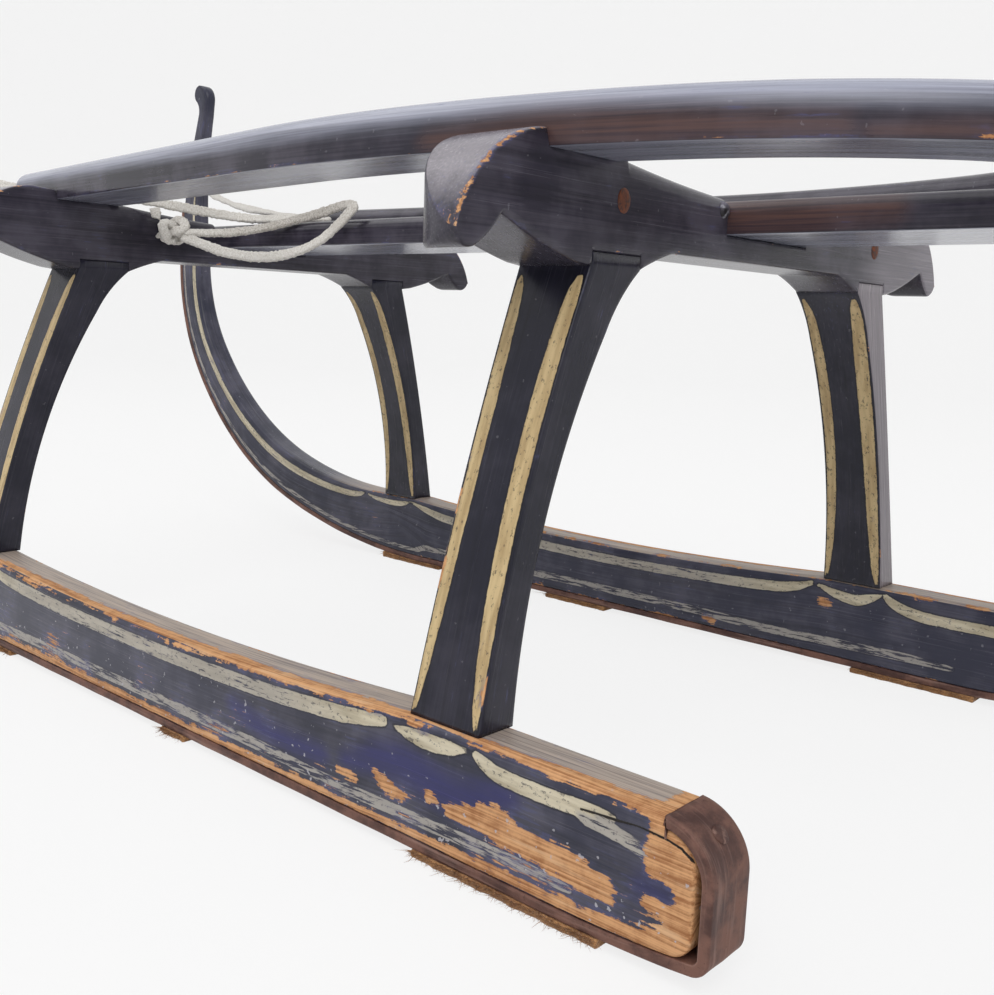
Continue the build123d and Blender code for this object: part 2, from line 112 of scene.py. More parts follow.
def bent(start: Pair, bends: Bends, headings: Array) -> Array:
    """Points of a row of tangent arcs at given headings.

    An arc that starts at p with heading h has its centre a radius to the left of p. Its point with
    heading a is the centre plus the radius times (sin a, -cos a).

    Args:
        start: First point.
        bends: Radius and degrees of each arc; the first one starts with heading 0.
        headings: Headings in degrees, from 0 to the sum of the bends.

    Returns:
        Array (n, 2).
    """
    points = np.zeros((len(headings), 2))
    corner = np.array(start, dtype=float)
    turned = 0.0
    for radius, degrees in bends:
        first = math.radians(turned)
        last = math.radians(turned + degrees)
        centre = corner + radius * np.array([-math.sin(first), math.cos(first)])
        here = headings >= turned - 1e-9
        angle = np.radians(headings[here])
        points[here] = centre + radius * np.stack([np.sin(angle), -np.cos(angle)], axis=1)
        corner = centre + radius * np.array([math.sin(last), -math.cos(last)])
        turned += degrees
    return points


def arc_through(first: Array, middle: Array, last: Array, count: int = 40) -> Array:
    """Points of the circle's arc from the first to the last point by way of the middle one.

    The centre is where the perpendicular bisectors of the two chords meet.

    Args:
        first: Start, (2,).
        middle: Point on the way, (2,).
        last: End, (2,).
        count: Number of points.

    Returns:
        Array (count, 2).
    """
    first, middle, last = (np.asarray(p, dtype=float) for p in (first, middle, last))
    chords = 2 * np.stack([middle - first, last - first])
    sums = np.array([middle @ middle - first @ first, last @ last - first @ first])
    centre = np.linalg.solve(chords, sums)
    angles = [math.atan2(*(p - centre)[::-1]) for p in (first, middle, last)]
    turn = (angles[2] - angles[0]) % (2 * math.pi)
    if (angles[1] - angles[0]) % (2 * math.pi) > turn:
        turn -= 2 * math.pi
    sweep = angles[0] + turn * np.linspace(0, 1, count)
    radius = np.linalg.norm(first - centre)
    return centre + radius * round_points(sweep)


def travelled(points: Array) -> Array:
    """Length of a polyline up to each of its points."""
    return np.concatenate([[0.0], np.cumsum(np.linalg.norm(np.diff(points, axis=0), axis=1))])


def sampled(rows: Array, places: Array, wanted: Array) -> Array:
    """Rows (n, d) that are known at places, at the wanted places between them."""
    return np.stack([np.interp(wanted, places, column) for column in rows.T], axis=1)


def unit(vectors: Array) -> Array:
    """Same directions with a length of one."""
    return vectors / np.linalg.norm(vectors, axis=-1, keepdims=True)


def round_points(angle: Array) -> Array:
    """Points (n, 2) of the unit circle at angles in radians."""
    return np.stack([np.cos(angle), np.sin(angle)], axis=1)


def half_chord(radius: float, past: Array) -> Array:
    """Half chord of a circle at a distance from its middle, and 0 outside it."""
    return np.sqrt(np.maximum(radius**2 - past**2, 0))


def evenly(points: Array, share: Array) -> Array:
    """Points of a polyline at shares of its length, from 0 to 1.

    Args:
        points: Polyline (n, d).
        share: Shares (k,).

    Returns:
        Array (k, d).
    """
    reached = travelled(points)
    return sampled(points, reached, np.asarray(share) * reached[-1])


def eased_row(knots: Array, per_span: int = 8) -> Array:
    """Smooth row of points through knots, as a Catmull-Rom curve.

    Between two knots the curve is a cubic whose end slopes are half the step between the knots
    before and after.

    Args:
        knots: Knots (k, d).
        per_span: Points for each span.

    Returns:
        Array ((k - 1) * per_span + 1, d).
    """
    padded = np.concatenate([2 * knots[:1] - knots[1:2], knots, 2 * knots[-1:] - knots[-2:-1]])
    before, start, end, after = padded[:-3], padded[1:-2], padded[2:-1], padded[3:]
    t = (np.arange(per_span) / per_span)[None, :, None]
    p0, p1, p2, p3 = (p[:, None, :] for p in (before, start, end, after))
    curve = 0.5 * (2 * p1 + (p2 - p0) * t + (2 * p0 - 5 * p1 + 4 * p2 - p3) * t**2
                   + (3 * p1 - p0 - 3 * p2 + p3) * t**3)
    return np.concatenate([curve.reshape(-1, knots.shape[1]), knots[-1:]])


@dataclass(frozen=True)
class Stroke:
    """Brush stroke or worn patch on a face.

    Attributes:
        knots: Place along the member, depth from its edge and half width, for each knot.
        fade: 0 for a fresh stripe, 1 for one worn grey.
    """

    knots: Knots
    fade: float = 0.0

    def depth(self, along: Array, across: Array) -> Array:
        """Depth inside the stroke, negative outside it.

        The stroke is a chain of capsules whose half width changes evenly between smoothed knots. The
        depth is the largest, over the capsules, of the half width less the distance to its axis.

        Args:
            along: Places along the member.
            across: Depths from the member's edge.

        Returns:
            Depth in the shape of the places.
        """
        row = eased_row(np.array(self.knots))
        best = np.full(along.shape, -FAR)
        for (a0, c0, w0), (a1, c1, w1) in zip(row[:-1], row[1:]):
            span = max((a1 - a0) ** 2 + (c1 - c0) ** 2, 1e-9)
            share = np.clip(((along - a0) * (a1 - a0) + (across - c0) * (c1 - c0)) / span, 0, 1)
            gap = np.hypot(along - a0 - share * (a1 - a0), across - c0 - share * (c1 - c0))
            best = np.maximum(best, w0 + share * (w1 - w0) - gap)
        return best


@dataclass(frozen=True)
class Facets:
    """How finely a section is divided."""

    face: int
    top: int
    arc: int


@dataclass
class Loft:
    """Rounded sections carried along a member, with what the finish reads at every vertex.

    Attributes:
        points: Vertices (stations, ring, 3) in mm.
        along: Place along the member.
        below: Depth under the section's top.
        above: Height over the section's bottom.
        across: Distance from the section's middle, positive outwards.
        top_edge: Distance from the nearer top arris.
        low_edge: Distance from the nearer bottom arris.
        face: Side of the section that the vertex is on.
        layers: Finish layers by name, in mm.
        grain: Places in the wood (stations, ring, 3), where they differ from along, below and across.
    """

    points: Array
    along: Array
    below: Array
    above: Array
    across: Array
    top_edge: Array
    low_edge: Array
    face: Array
    layers: dict[str, Array] = field(default_factory=dict)
    grain: Array | None = None

    def on(self, *faces: Face) -> Array:
        """True where a vertex is on one of the faces."""
        return np.isin(self.face, [int(face) for face in faces])

    def layer(self, name: str) -> Array:
        """Finish layer, made at its far-outside value when new."""
        return self.layers.setdefault(name, np.full(self.along.shape, -FAR))

    def add(self, name: str, depth: Sizes, where: Array) -> None:
        """Joins a depth to a layer where asked: the larger of the two holds."""
        layer = self.layer(name)
        self.layers[name] = np.where(where, np.maximum(layer, depth), layer)

    def cut(self, name: str, depth: Array, where: Array) -> None:
        """Takes a depth out of a layer where asked."""
        layer = self.layer(name)
        self.layers[name] = np.where(where, np.minimum(layer, -depth), layer)

    def brush(self, name: str, strokes: tuple[Stroke, ...], along: Array, across: Array,
              where: Array) -> None:
        """Adds strokes to a layer where asked.

        Args:
            name: Layer's name.
            strokes: Strokes to add.
            along: Places that the strokes run along.
            across: Distances that they are set off by.
            where: Vertices that take them.
        """
        for stroke in strokes:
            self.add(name, stroke.depth(along, across), where)

    def mirrored(self) -> "Loft":
        """Same member on the sled's other side; its faces keep their names."""
        flip = np.array([1.0, -1.0, 1.0])
        return Loft(self.points * flip, self.along, self.below, self.above, self.across,
                    self.top_edge, self.low_edge, self.face, dict(self.layers), self.grain)


def column(value: Sizes, count: int) -> Array:
    """Column (count, 1) of a row of values, or of one value for all."""
    return np.broadcast_to(np.asarray(value, dtype=float), (count,))[:, None]


def rounded_sections(half: Array, low: Sizes, high: Sizes, top_round: Sizes, low_round: Sizes,
                     facets: Facets) -> tuple[Array, Array, Array]:
    """Rounded rectangles, one for each station, as points in the section's own plane.

    The ring runs up the outer face, over the top, down the inner face and back under the bottom. A
    corner is a quarter circle: its centre plus the radius times the cosine and sine of the angle.

    Args:
        half: Half width of each section.
        low: Bottom of each section.
        high: Top of each section.
        top_round: Radius of the top corners.
        low_round: Radius of the bottom corners.
        facets: Divisions of the ring.

    Returns:
        Widths (n, m), heights (n, m) and faces (m,).
    """
    count = len(half)
    half, low, high, rt, rb = (column(v, count) for v in (half, low, high, top_round, low_round))
    room = 0.49 * np.minimum(2 * half, high - low)
    rt = np.minimum(rt, room)
    rb = np.minimum(rb, room)
    f = np.linspace(0, 1, facets.face + 1)[None, 1:-1]
    t = np.linspace(1, -1, facets.top + 1)[None, 1:-1]
    a = np.linspace(0, math.pi / 2, facets.arc + 1)[None, :]
    flat = np.ones_like(f)
    side = (low + rb) + (high - rt - low - rb) * f
    width = np.concatenate([
        half * flat, half - rt + rt * np.cos(a), (half - rt) * t, rt - half - rt * np.sin(a),
        -half * flat, rb - half - rb * np.cos(a), -(half - rb) * t, half - rb + rb * np.sin(a),
    ], axis=1)
    height = np.concatenate([
        side, high - rt + rt * np.sin(a), high + 0 * t, high - rt + rt * np.cos(a),
        side[:, ::-1], low + rb - rb * np.sin(a), low + 0 * t, low + rb - rb * np.cos(a),
    ], axis=1)
    turn = np.arange(facets.arc + 1) * 2 > facets.arc
    order = (Face.OUTER, Face.TOP, Face.INNER, Face.BOTTOM)
    names = []
    for here, after in zip(order, order[1:] + order[:1]):
        flats = f.shape[1] if here in (Face.OUTER, Face.INNER) else t.shape[1]
        names += [np.full(flats, int(here)), np.where(turn, int(after), int(here))]
    return width, height, np.concatenate(names)


def end_eased(stations: Array, radius: float, last: bool = True) -> tuple[Array, Array]:
    """Stations with rounded ends, and how far each section is drawn in there.

    At an end the section goes on by the radius times the sine of an angle and is drawn in by the
    radius times one less its cosine.

    Args:
        stations: Places along the member, in order.
        radius: Radius of the rounding.
        last: Whether the last end is rounded too.

    Returns:
        Stations and the amount that each section is drawn in.
    """
    angle = np.linspace(0, math.pi / 2, 6)
    inset = radius * (1 - np.cos(angle))
    reach = radius * np.sin(angle)
    clear = radius * 1.05
    keep = stations > stations[0] + clear
    if last:
        keep &= stations < stations[-1] - clear
    middle = stations[keep]
    head = (stations[0] + radius - reach)[::-1]
    tail = stations[-1] - radius + reach if last else np.zeros(0)
    drawn = np.concatenate([inset[::-1], np.zeros(len(middle)), inset if last else []])
    return np.concatenate([head, middle, tail]), drawn


def loft_of(along: Array, width: Array, height: Array, face: Array, half: Array, low: Sizes, high: Sizes,
            place: Array) -> Loft:
    """Loft from sections and the points that they are placed at.

    Args:
        along: Place of each station along the member (n,).
        width: Section widths (n, m).
        height: Section heights (n, m).
        face: Faces (m,).
        half: Half widths (n,).
        low: Section bottoms (n,), or one for all.
        high: Section tops (n,), or one for all.
        place: Vertices (n, m, 3).

    Returns:
        The loft.
    """
    count = len(half)
    out = column(half, count) - np.abs(width)
    below = column(high, count) - height
    above = height - column(low, count)
    return Loft(place, over_ring(along, width), below, above, width, np.hypot(out, below),
                np.hypot(out, above), np.broadcast_to(face[None, :], width.shape).copy())


def over_ring(values: Array, width: Array) -> Array:
    """Value of each station (n,) at every point of its ring, in the shape of the widths (n, m)."""
    return np.broadcast_to(values[:, None], width.shape).copy()


def ring_faces(stations: int, ring: int) -> Array:
    """Quads between neighbouring rings of a grid whose rings are closed.

    Args:
        stations: Number of rings.
        ring: Vertices in a ring.

    Returns:
        Vertex numbers (quads, 4).
    """
    row = np.arange(stations - 1)[:, None] * ring
    here = np.arange(ring)[None, :]
    after = (here + 1) % ring
    return np.stack([row + here, row + after, row + ring + after, row + ring + here], axis=-1).reshape(-1, 4)


def tube(grid: Array) -> tuple[Array, list]:
    """Tube over a grid of rings, closed by a fan about the middle of each end.

    Args:
        grid: Vertices (n, m, 3).

    Returns:
        Vertices (n * m + 2, 3), the last two in the middles of the ends, and lists of vertex numbers.
    """
    rows, ring = grid.shape[:2]
    here = np.arange(ring)
    after = (here + 1) % ring
    base = rows * ring
    last = base - ring
    faces = ring_faces(rows, ring).tolist()
    faces += np.stack([after, here, np.full(ring, base)], axis=1).tolist()
    faces += np.stack([last + here, last + after, np.full(ring, base + 1)], axis=1).tolist()
    return np.concatenate([grid.reshape(-1, 3), grid[:1].mean(axis=1), grid[-1:].mean(axis=1)]), faces


CAP_SHARES = (0.75, 0.45, 0.18)


def capped(grid: Array) -> Array:
    """Grid of rings with rings that close in on the middle of each end.

    A closing ring is the end ring drawn towards its middle to a share of its size.

    Args:
        grid: Values at the vertices (n, m, d).

    Returns:
        Grid (n + 2 * shares, m, d).
    """
    def lid(ring: Array) -> Array:
        """Closing rings of one end, the widest first."""
        middle = ring.mean(axis=0)
        return np.stack([middle + share * (ring - middle) for share in CAP_SHARES])

    return np.concatenate([lid(grid[0])[::-1], grid, lid(grid[-1])])


def new_object(name: str, points: Array, faces: list,
               layers: dict[str, Array] | None = None) -> Piece:
    """Smooth mesh object at the origin with float or vector layers at its vertices.

    Args:
        name: Piece's name.
        points: Vertices (k, 3) in mm.
        faces: Lists of vertex numbers.
        layers: Values in mm, (k,) or (k, 3), kept in metres.

    Returns:
        The object, linked to the scene.
    """
    mesh = bpy.data.meshes.new(name)
    mesh.from_pydata((points * MM).tolist(), [], faces)
    for layer, values in (layers or {}).items():
        vector = values.ndim == 2
        kept = mesh.attributes.new(layer, "FLOAT_VECTOR" if vector else "FLOAT", "POINT")
        kept.data.foreach_set("vector" if vector else "value", (values * MM).astype(np.float32).ravel())
    mesh.polygons.foreach_set("use_smooth", np.ones(len(mesh.polygons), dtype=bool))
    mesh.update()
    piece = bpy.data.objects.new(name, mesh)
    bpy.context.scene.collection.objects.link(piece)
    outwards(piece)
    return piece


def outwards(piece: Piece) -> None:
    """Turns a closed mesh's faces outwards, by the sign of the volume that they enclose."""
    mesh = piece.data
    mesh.calc_loop_triangles()
    corners = np.zeros(len(mesh.vertices) * 3)
    mesh.vertices.foreach_get("co", corners)
    triangles = np.zeros(len(mesh.loop_triangles) * 3, dtype=np.int64)
    mesh.loop_triangles.foreach_get("vertices", triangles)
    a, b, c = np.moveaxis(corners.reshape(-1, 3)[triangles.reshape(-1, 3)], 1, 0)
    if np.einsum("ij,ij->i", a, np.cross(b, c)).sum() < 0:
        mesh.flip_normals()


def member_object(name: str, loft: Loft) -> Piece:
    """Closed mesh of a loft with its finish layers and its grain.

    Args:
        name: Piece's name.
        loft: Sections and layers.

    Returns:
        The object.
    """
    points, faces = tube(capped(loft.points))
    count = len(CAP_SHARES)

    def spread(values: Array) -> Array:
        """Layer's values at every vertex, those of the caps taken from the end rings."""
        rows = np.pad(values, ((count, count), (0, 0)), "edge")
        return np.concatenate([rows.reshape(-1), [values[0].mean(), values[-1].mean()]])

    layers = {layer: spread(loft.layer(layer)) for layer in ("stripe", "bare", "rub_and_highlight", "tint", "crack")}
    for layer in ("fade", "fleck"):
        layers[layer] = spread(loft.layers.get(layer, np.zeros(loft.along.shape)))
    layers["edge"] = spread(np.minimum(loft.top_edge, loft.low_edge))
    parts = (loft.along, loft.below, loft.across) if loft.grain is None else np.moveaxis(loft.grain, -1, 0)
    layers["grain"] = np.stack([spread(part) for part in parts], axis=1)
    return new_object(name, points, faces, layers)


def seat(piece: Piece, slot: Slot, material: Material, *nodes: str) -> Piece:
    """Gives a piece its material and body, and hides the nodes that it stands for.

    Args:
        piece: The piece.
        slot: Record's material slot; not used.
        material: Its finish.
        nodes: CAD nodes that it replaces.

    Returns:
        The piece.
    """
    piece.data.materials.clear()
    piece.data.materials.append(material)
    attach(piece, BODY)
    if nodes:
        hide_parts(*nodes)
    LOG.info("%s: %d faces", piece.name, len(piece.data.polygons))
    return piece


# Finishes


class Graph:
    """Lays and joins the nodes of one shader tree."""

    def __init__(self, tree: Tree) -> None:
        """Starts with an empty tree.

        Args:
            tree: Material's tree or a node group.
        """
        self.tree = tree
        self.tree.nodes.clear()

    def node(self, kind: str, **settings: object) -> Node:
        """New node with its settings.

        Args:
            kind: Node's type.
            settings: Properties by name.

        Returns:
            The node.
        """
        made = self.tree.nodes.new(kind)
        for key, value in settings.items():
            setattr(made, key, value)
        return made

    def feed(self, socket: Socket, value: object) -> None:
        """Links another node's socket to this one, or sets a plain value."""
        if isinstance(value, Socket):
            self.tree.links.new(value, socket)
        else:
            socket.default_value = value

    def fill(self, node: Node, values: dict[str, object]) -> None:
        """Feeds a node's inputs by name."""
        for key, value in values.items():
            self.feed(node.inputs[key], value)

    def math(self, operation: str, a: object, b: object = 0.0, clamp: bool = False) -> Socket:
        """Result of an operation on two values."""
        made = self.node("ShaderNodeMath", operation=operation, use_clamp=clamp)
        self.feed(made.inputs[0], a)
        self.feed(made.inputs[1], b)
        return made.outputs[0]

    def times(self, a: object, b: object, clamp: bool = False) -> Socket:
        """Product of two values."""
        return self.math("MULTIPLY", a, b, clamp)

    def plus(self, a: object, b: object, clamp: bool = False) -> Socket:
        """Sum of two values."""
        return self.math("ADD", a, b, clamp)

    def less(self, a: object, b: object) -> Socket:
        """First value less the second."""
        return self.math("SUBTRACT", a, b)

    def weighed(self, a: object, a_share: float, b: object, b_share: float) -> Socket:
        """Sum of two values times their shares."""
        return self.plus(self.times(a, a_share), self.times(b, b_share))

    def seen(self) -> Socket:
        """1 for rays from the camera, a mirror or glass, and 0 for the rest."""
        path = self.node("ShaderNodeLightPath")
        direct = self.plus(path.outputs["Is Camera Ray"], path.outputs["Is Glossy Ray"])
        return self.plus(direct, path.outputs["Is Transmission Ray"], True)

    def bump(self, shader: Node, height: object, strength: float, distance: float) -> None:
        """Bump on a shader's normal.

        Args:
            shader: Principled shader.
            height: Value of the relief.
            strength: Bump's strength.
            distance: Bump's depth in metres.
        """
        made = self.node("ShaderNodeBump")
        self.fill(made, {"Strength": strength, "Distance": distance, "Height": height})
        self.feed(shader.inputs["Normal"], made.outputs["Normal"])

    def streaks(self, grain: object, along: float, across: float, detail: float = 3.0,
                rough: float = 0.55) -> Socket:
        """Noise drawn out along the grain.

        Args:
            grain: Place in the wood.
            along: Scale along the grain.
            across: Scale across it.
            detail: Noise's detail.
            rough: Noise's roughness.

        Returns:
            Noise about a half.
        """
        drawn = self.node("ShaderNodeVectorMath", operation="MULTIPLY")
        self.feed(drawn.inputs[0], grain)
        self.feed(drawn.inputs[1], (along, across, across))
        return self.noise(drawn.outputs[0], 1.0, detail, rough)

    def noise(self, vector: object, scale: float, detail: float = 3.0,
              rough: float = 0.55) -> Socket:
        """Noise about a half."""
        made = self.node("ShaderNodeTexNoise")
        self.fill(made, {"Vector": vector, "Scale": scale, "Detail": detail, "Roughness": rough})
        return made.outputs[0]

    def ramp(self, value: object, low: float, high: float, floor: float = 0.0,
             top: float = 1.0) -> Socket:
        """Smooth step of a value from its low to its high limit."""
        made = self.node("ShaderNodeMapRange", interpolation_type="SMOOTHSTEP")
        for socket, given in zip(made.inputs[:5], (value, low, high, floor, top)):
            self.feed(socket, given)
        return made.outputs[0]

    def mix(self, factor: object, a: object, b: object, blend: str = "MIX") -> Socket:
        """Mix of two colours."""
        made = self.node("ShaderNodeMix", data_type="RGBA", blend_type=blend, clamp_factor=True)
        self.feed(made.inputs[0], factor)
        self.feed(made.inputs[6], a)
        self.feed(made.inputs[7], b)
        return made.outputs[2]

    def layer(self, name: str, output: str = "Fac") -> Socket:
        """Value of one of the mesh's own layers."""
        return self.node("ShaderNodeAttribute", attribute_name=name).outputs[output]

    def place(self) -> Socket:
        """Object coordinates."""
        return self.node("ShaderNodeTexCoord").outputs["Object"]


def colour(red: float, green: float, blue: float) -> Colour:
    """Opaque colour from display values of 0 to 255."""
    def linear(value: float) -> float:
        """Linear light of one display value."""
        share = value / 255
        return share / 12.92 if share <= 0.04045 else ((share + 0.055) / 1.055) ** 2.4

    return (linear(red), linear(green), linear(blue), 1.0)


@dataclass(frozen=True)
class PaintFinish:
    """Worn dark paint over bare wood.

    Attributes:
        name: Material's name.
        paint: Dark paint.
        sheen: Paint where it is rubbed grey.
        rub_and_highlight: Brown wear in the paint; on the runners' tops a pale painted highlight over rubbed
            paint.
        wood: Bare wood.
        wood_dark: Bare wood's dark grain.
        edge_wear: How far wear reaches in from an arris, in mm.
        rough: Roughness of the paint.
        grain: Strength of the grain's lines in the paint.
        flecks: How far small flecks of paint have gone, from 0 to 1.
        tint: Paint where its layer says so: on the runners indigo patches, on the other members a pale
            painted highlight, painted reflection of the floor and painted haze of light.
        stripe: Stripes.
        stripe_dark: Darker parts of the stripes.
    """

    name: str
    paint: Colour = colour(27, 27, 40)
    sheen: Colour = colour(64, 61, 74)
    rub_and_highlight: Colour = colour(92, 68, 62)
    wood: Colour = colour(222, 170, 122)
    wood_dark: Colour = colour(160, 106, 66)
    edge_wear: float = 0.9
    rough: float = 0.26
    grain: float = 0.6
    flecks: float = 0.0
    tint: Colour = colour(50, 50, 104)
    stripe: Colour = colour(214, 190, 144)
    stripe_dark: Colour = colour(180, 154, 112)

    def build(self, group: Tree) -> Material:
        """Material that places the worn-paint group under a satin shader.

        Args:
            group: The shared worn-paint group.

        Returns:
            The material.
        """
        material, graph, shader = plain_material(self.name)
        worn = graph.node("ShaderNodeGroup", node_tree=group)
        graph.fill(worn, {
            "Paint": self.paint, "Sheen": self.sheen, "Rub And Highlight": self.rub_and_highlight, "Wood": self.wood,
            "Wood Dark": self.wood_dark, "Edge Wear": self.edge_wear * MM, "Rough": self.rough,
            "Grain": self.grain, "Flecks": self.flecks, "Tint": self.tint, "Stripe": self.stripe,
            "Stripe Dark": self.stripe_dark})
        graph.fill(shader, {"IOR": 1.36, "Base Color": worn.outputs["Color"],
                            "Roughness": worn.outputs["Roughness"]})
        graph.bump(shader, worn.outputs["Height"], 0.4, 0.0003)
        return material


def plain_material(name: str) -> tuple[Material, Graph, Node]:
    """New material with a Principled shader and nothing else.

    Args:
        name: Material's name.

    Returns:
        Material, its graph and its shader.
    """
    material = bpy.data.materials.new(name)
    material.use_nodes = True
    graph = Graph(material.node_tree)
    shader = graph.node("ShaderNodeBsdfPrincipled")
    output = graph.node("ShaderNodeOutputMaterial")
    graph.feed(output.inputs["Surface"], shader.outputs["BSDF"])
    return material, graph, shader


GroupParts = tuple[Tree, Graph, Node, Node]


def new_group(name: str, inputs: dict[str, str], outputs: dict[str, str]) -> GroupParts:
    """Empty shader node group with named sockets.

    Args:
        name: Group's name.
        inputs: Socket types by name.
        outputs: Socket types by name.

    Returns:
        The group, its graph, its input node and its output node.
    """
    group = bpy.data.node_groups.new(name, "ShaderNodeTree")
    for direction, sockets in (("INPUT", inputs), ("OUTPUT", outputs)):
        for key, kind in sockets.items():
            group.interface.new_socket(key, in_out=direction, socket_type=kind)
    graph = Graph(group)
    return group, graph, graph.node("NodeGroupInput"), graph.node("NodeGroupOutput")


NUMBER = "NodeSocketFloat"
TONE = "NodeSocketColor"
OUTLINE = colour(20, 19, 24)
WORN_STRIPE = colour(164, 160, 158)
UNDERCOAT = colour(84, 88, 132)
PALE_GRAIN = colour(232, 194, 154)
SPECK = colour(190, 188, 196)
SPLIT = colour(22, 14, 10)


def worn_paint_group() -> Tree:
    """Dark paint with stripes, worn through to bare wood.

    The stripe and bare layers hold depths in metres. Noise is added to a depth, and a narrow step
    about zero makes the mask, so that the edge is ragged and crisp. Bare wood shows where the bare
    depth is positive or an arris is near. A bluish rim of undercoat lies just outside it.

    Returns:
        The group, with Color, Roughness and Height.
    """
    group, g, given, output = new_group(
        "worn_paint",
        {"Paint": TONE, "Sheen": TONE, "Rub And Highlight": TONE, "Wood": TONE, "Wood Dark": TONE, "Edge Wear": NUMBER,
         "Rough": NUMBER, "Grain": NUMBER, "Flecks": NUMBER, "Tint": TONE, "Stripe": TONE,
         "Stripe Dark": TONE},
        {"Color": TONE, "Roughness": NUMBER, "Height": NUMBER})
    paint_in, wood_dark = given.outputs["Paint"], given.outputs["Wood Dark"]
    place = g.place()
    grain = g.layer("grain", "Vector")
    lines = g.streaks(grain, 14.0, 900.0, 4.0, 0.6)
    broad = g.streaks(grain, 5.0, 130.0, 3.0, 0.6)
    dashes = g.streaks(grain, 60.0, 640.0, 4.0, 0.65)
    cloud = g.noise(place, 26.0, 4.0, 0.6)
    fine = g.noise(place, 420.0, 3.0, 0.65)
    ragged = g.noise(place, 150.0, 4.0, 0.7)
    wander = g.less(ragged, 0.5)
    dash = g.less(dashes, 0.5)

    # Paint: rubbed grey in clouds, darker along the grain, then its tinted places (indigo patches, and pale
    # painted highlights, reflections and haze of light) and its rubbed places (brown wear, and on the
    # runners' tops a pale painted highlight).
    rubbed = g.ramp(g.weighed(cloud, 0.72, lines, 0.28), 0.4, 0.62)
    paint = g.mix(g.times(rubbed, given.outputs["Grain"]), paint_in, given.outputs["Sheen"])
    paint = g.mix(1.0, paint, g.ramp(broad, 0.36, 0.52, 0.72, 1.0), "MULTIPLY")
    sway = g.times(g.less(broad, 0.5), 0.01)
    tint_and_light_mask = g.ramp(g.plus(g.layer("tint"), sway), -0.006, 0.006)
    paint = g.mix(g.times(tint_and_light_mask, g.ramp(lines, 0.3, 0.7, 0.65, 1.0)), paint, given.outputs["Tint"])
    rub_and_highlight_mask = g.ramp(g.plus(g.layer("rub_and_highlight"), sway), -0.009, 0.009)
    paint = g.mix(g.times(rub_and_highlight_mask, g.ramp(lines, 0.3, 0.6, 0.35, 1.0)), paint, given.outputs["Rub And Highlight"])

    # Stripes: peppered, worn off in dashes, with a dark line round the fresh ones.
    stripe_depth = g.plus(g.layer("stripe"), g.times(wander, 0.0014))
    stripe = g.ramp(stripe_depth, -0.00018, 0.00018)
    fade = g.times(g.layer("fade"), 1 / MM, True)
    pepper = g.ramp(g.streaks(grain, 330.0, 520.0, 4.0, 0.75), 0.565, 0.63)
    worn_off = g.ramp(g.weighed(dash, 1.3, fade, 0.33), 0.27, 0.38)
    stripe_left = g.times(g.less(1.0, g.times(pepper, 0.7)), g.less(1.0, worn_off))
    stripe_mask = g.times(stripe, stripe_left)
    outline = g.times(g.ramp(stripe_depth, -0.0011, -0.0004), g.less(1.0, fade))
    paint = g.mix(g.times(outline, 0.6), paint, OUTLINE)
    cream = g.mix(g.ramp(g.streaks(grain, 40.0, 300.0), 0.3, 0.7), given.outputs["Stripe"],
                  given.outputs["Stripe Dark"])
    cream = g.mix(fade, cream, WORN_STRIPE)
    painted = g.mix(stripe_mask, paint, cream)

    # Bare wood: the patches, the rubbed arrises and the flakes, with a rim of undercoat.
    rough_edge = g.weighed(wander, 0.006, dash, 0.009)
    bare_depth = g.plus(g.layer("bare"), rough_edge)
    flaked = g.times(g.times(g.layer("fleck"), 1 / MM), given.outputs["Flecks"])
    gone = g.plus(g.weighed(dashes, 0.62, cloud, 0.38), g.times(flaked, 0.1))
    fleck_depth = g.times(g.less(gone, 0.705), 0.02)
    edge_gap = g.less(given.outputs["Edge Wear"], g.layer("edge"))
    rub = g.times(g.less(g.noise(place, 48.0, 4.0, 0.7), 0.52), 0.016)
    edge_depth = g.plus(edge_gap, g.plus(rub, rough_edge))
    depth = g.math("MAXIMUM", bare_depth, g.math("MINIMUM", edge_depth, 0.002))
    depth = g.math("MAXIMUM", depth, fleck_depth)
    bare = g.ramp(depth, -0.0001, 0.0003)
    rim = g.times(g.ramp(depth, -0.0022, -0.0004), g.ramp(cloud, 0.42, 0.6))
    painted = g.mix(g.times(rim, 0.5), painted, UNDERCOAT)
    wood = g.mix(g.ramp(g.weighed(lines, 0.7, ragged, 0.3), 0.36, 0.6), wood_dark, given.outputs["Wood"])
    wood = g.mix(g.ramp(g.streaks(grain, 30.0, 260.0, 2.0), 0.55, 0.7, 0.0, 0.5), wood, PALE_GRAIN)
    wood = g.mix(g.times(g.ramp(depth, 0.0012, 0.0, 0.0, 0.55), bare), wood, wood_dark)
    whole = g.mix(bare, painted, wood)

    # Pale specks and the crack.
    specks = g.ramp(g.plus(g.noise(place, 330.0, 2.0, 0.5), g.times(flaked, 0.035)), 0.72, 0.745)
    specks = g.times(specks, g.ramp(flaked, 0.0, 1.0, 0.12, 0.8))
    whole = g.mix(specks, whole, SPECK)
    off_line = g.math("ABSOLUTE", g.plus(g.layer("crack"), g.times(wander, 0.0012)))
    crack = g.ramp(g.less(g.plus(0.00045, g.times(wander, 0.0009)), off_line), -0.0001, 0.0002)
    g.feed(output.inputs["Color"], g.mix(crack, whole, SPLIT))

    gloss = g.plus(given.outputs["Rough"], g.times(g.less(lines, 0.5), 0.1))
    for worn, share in ((rub_and_highlight_mask, 0.2), (stripe_mask, 0.15)):
        gloss = g.plus(gloss, g.times(worn, share))
    g.feed(output.inputs["Roughness"], g.plus(gloss, g.times(bare, 0.4), True))
    relief = g.plus(g.weighed(lines, 0.5, fine, 0.25), g.times(stripe, 0.25))
    g.feed(output.inputs["Height"], g.less(relief, g.times(crack, 3.0)))
    return group


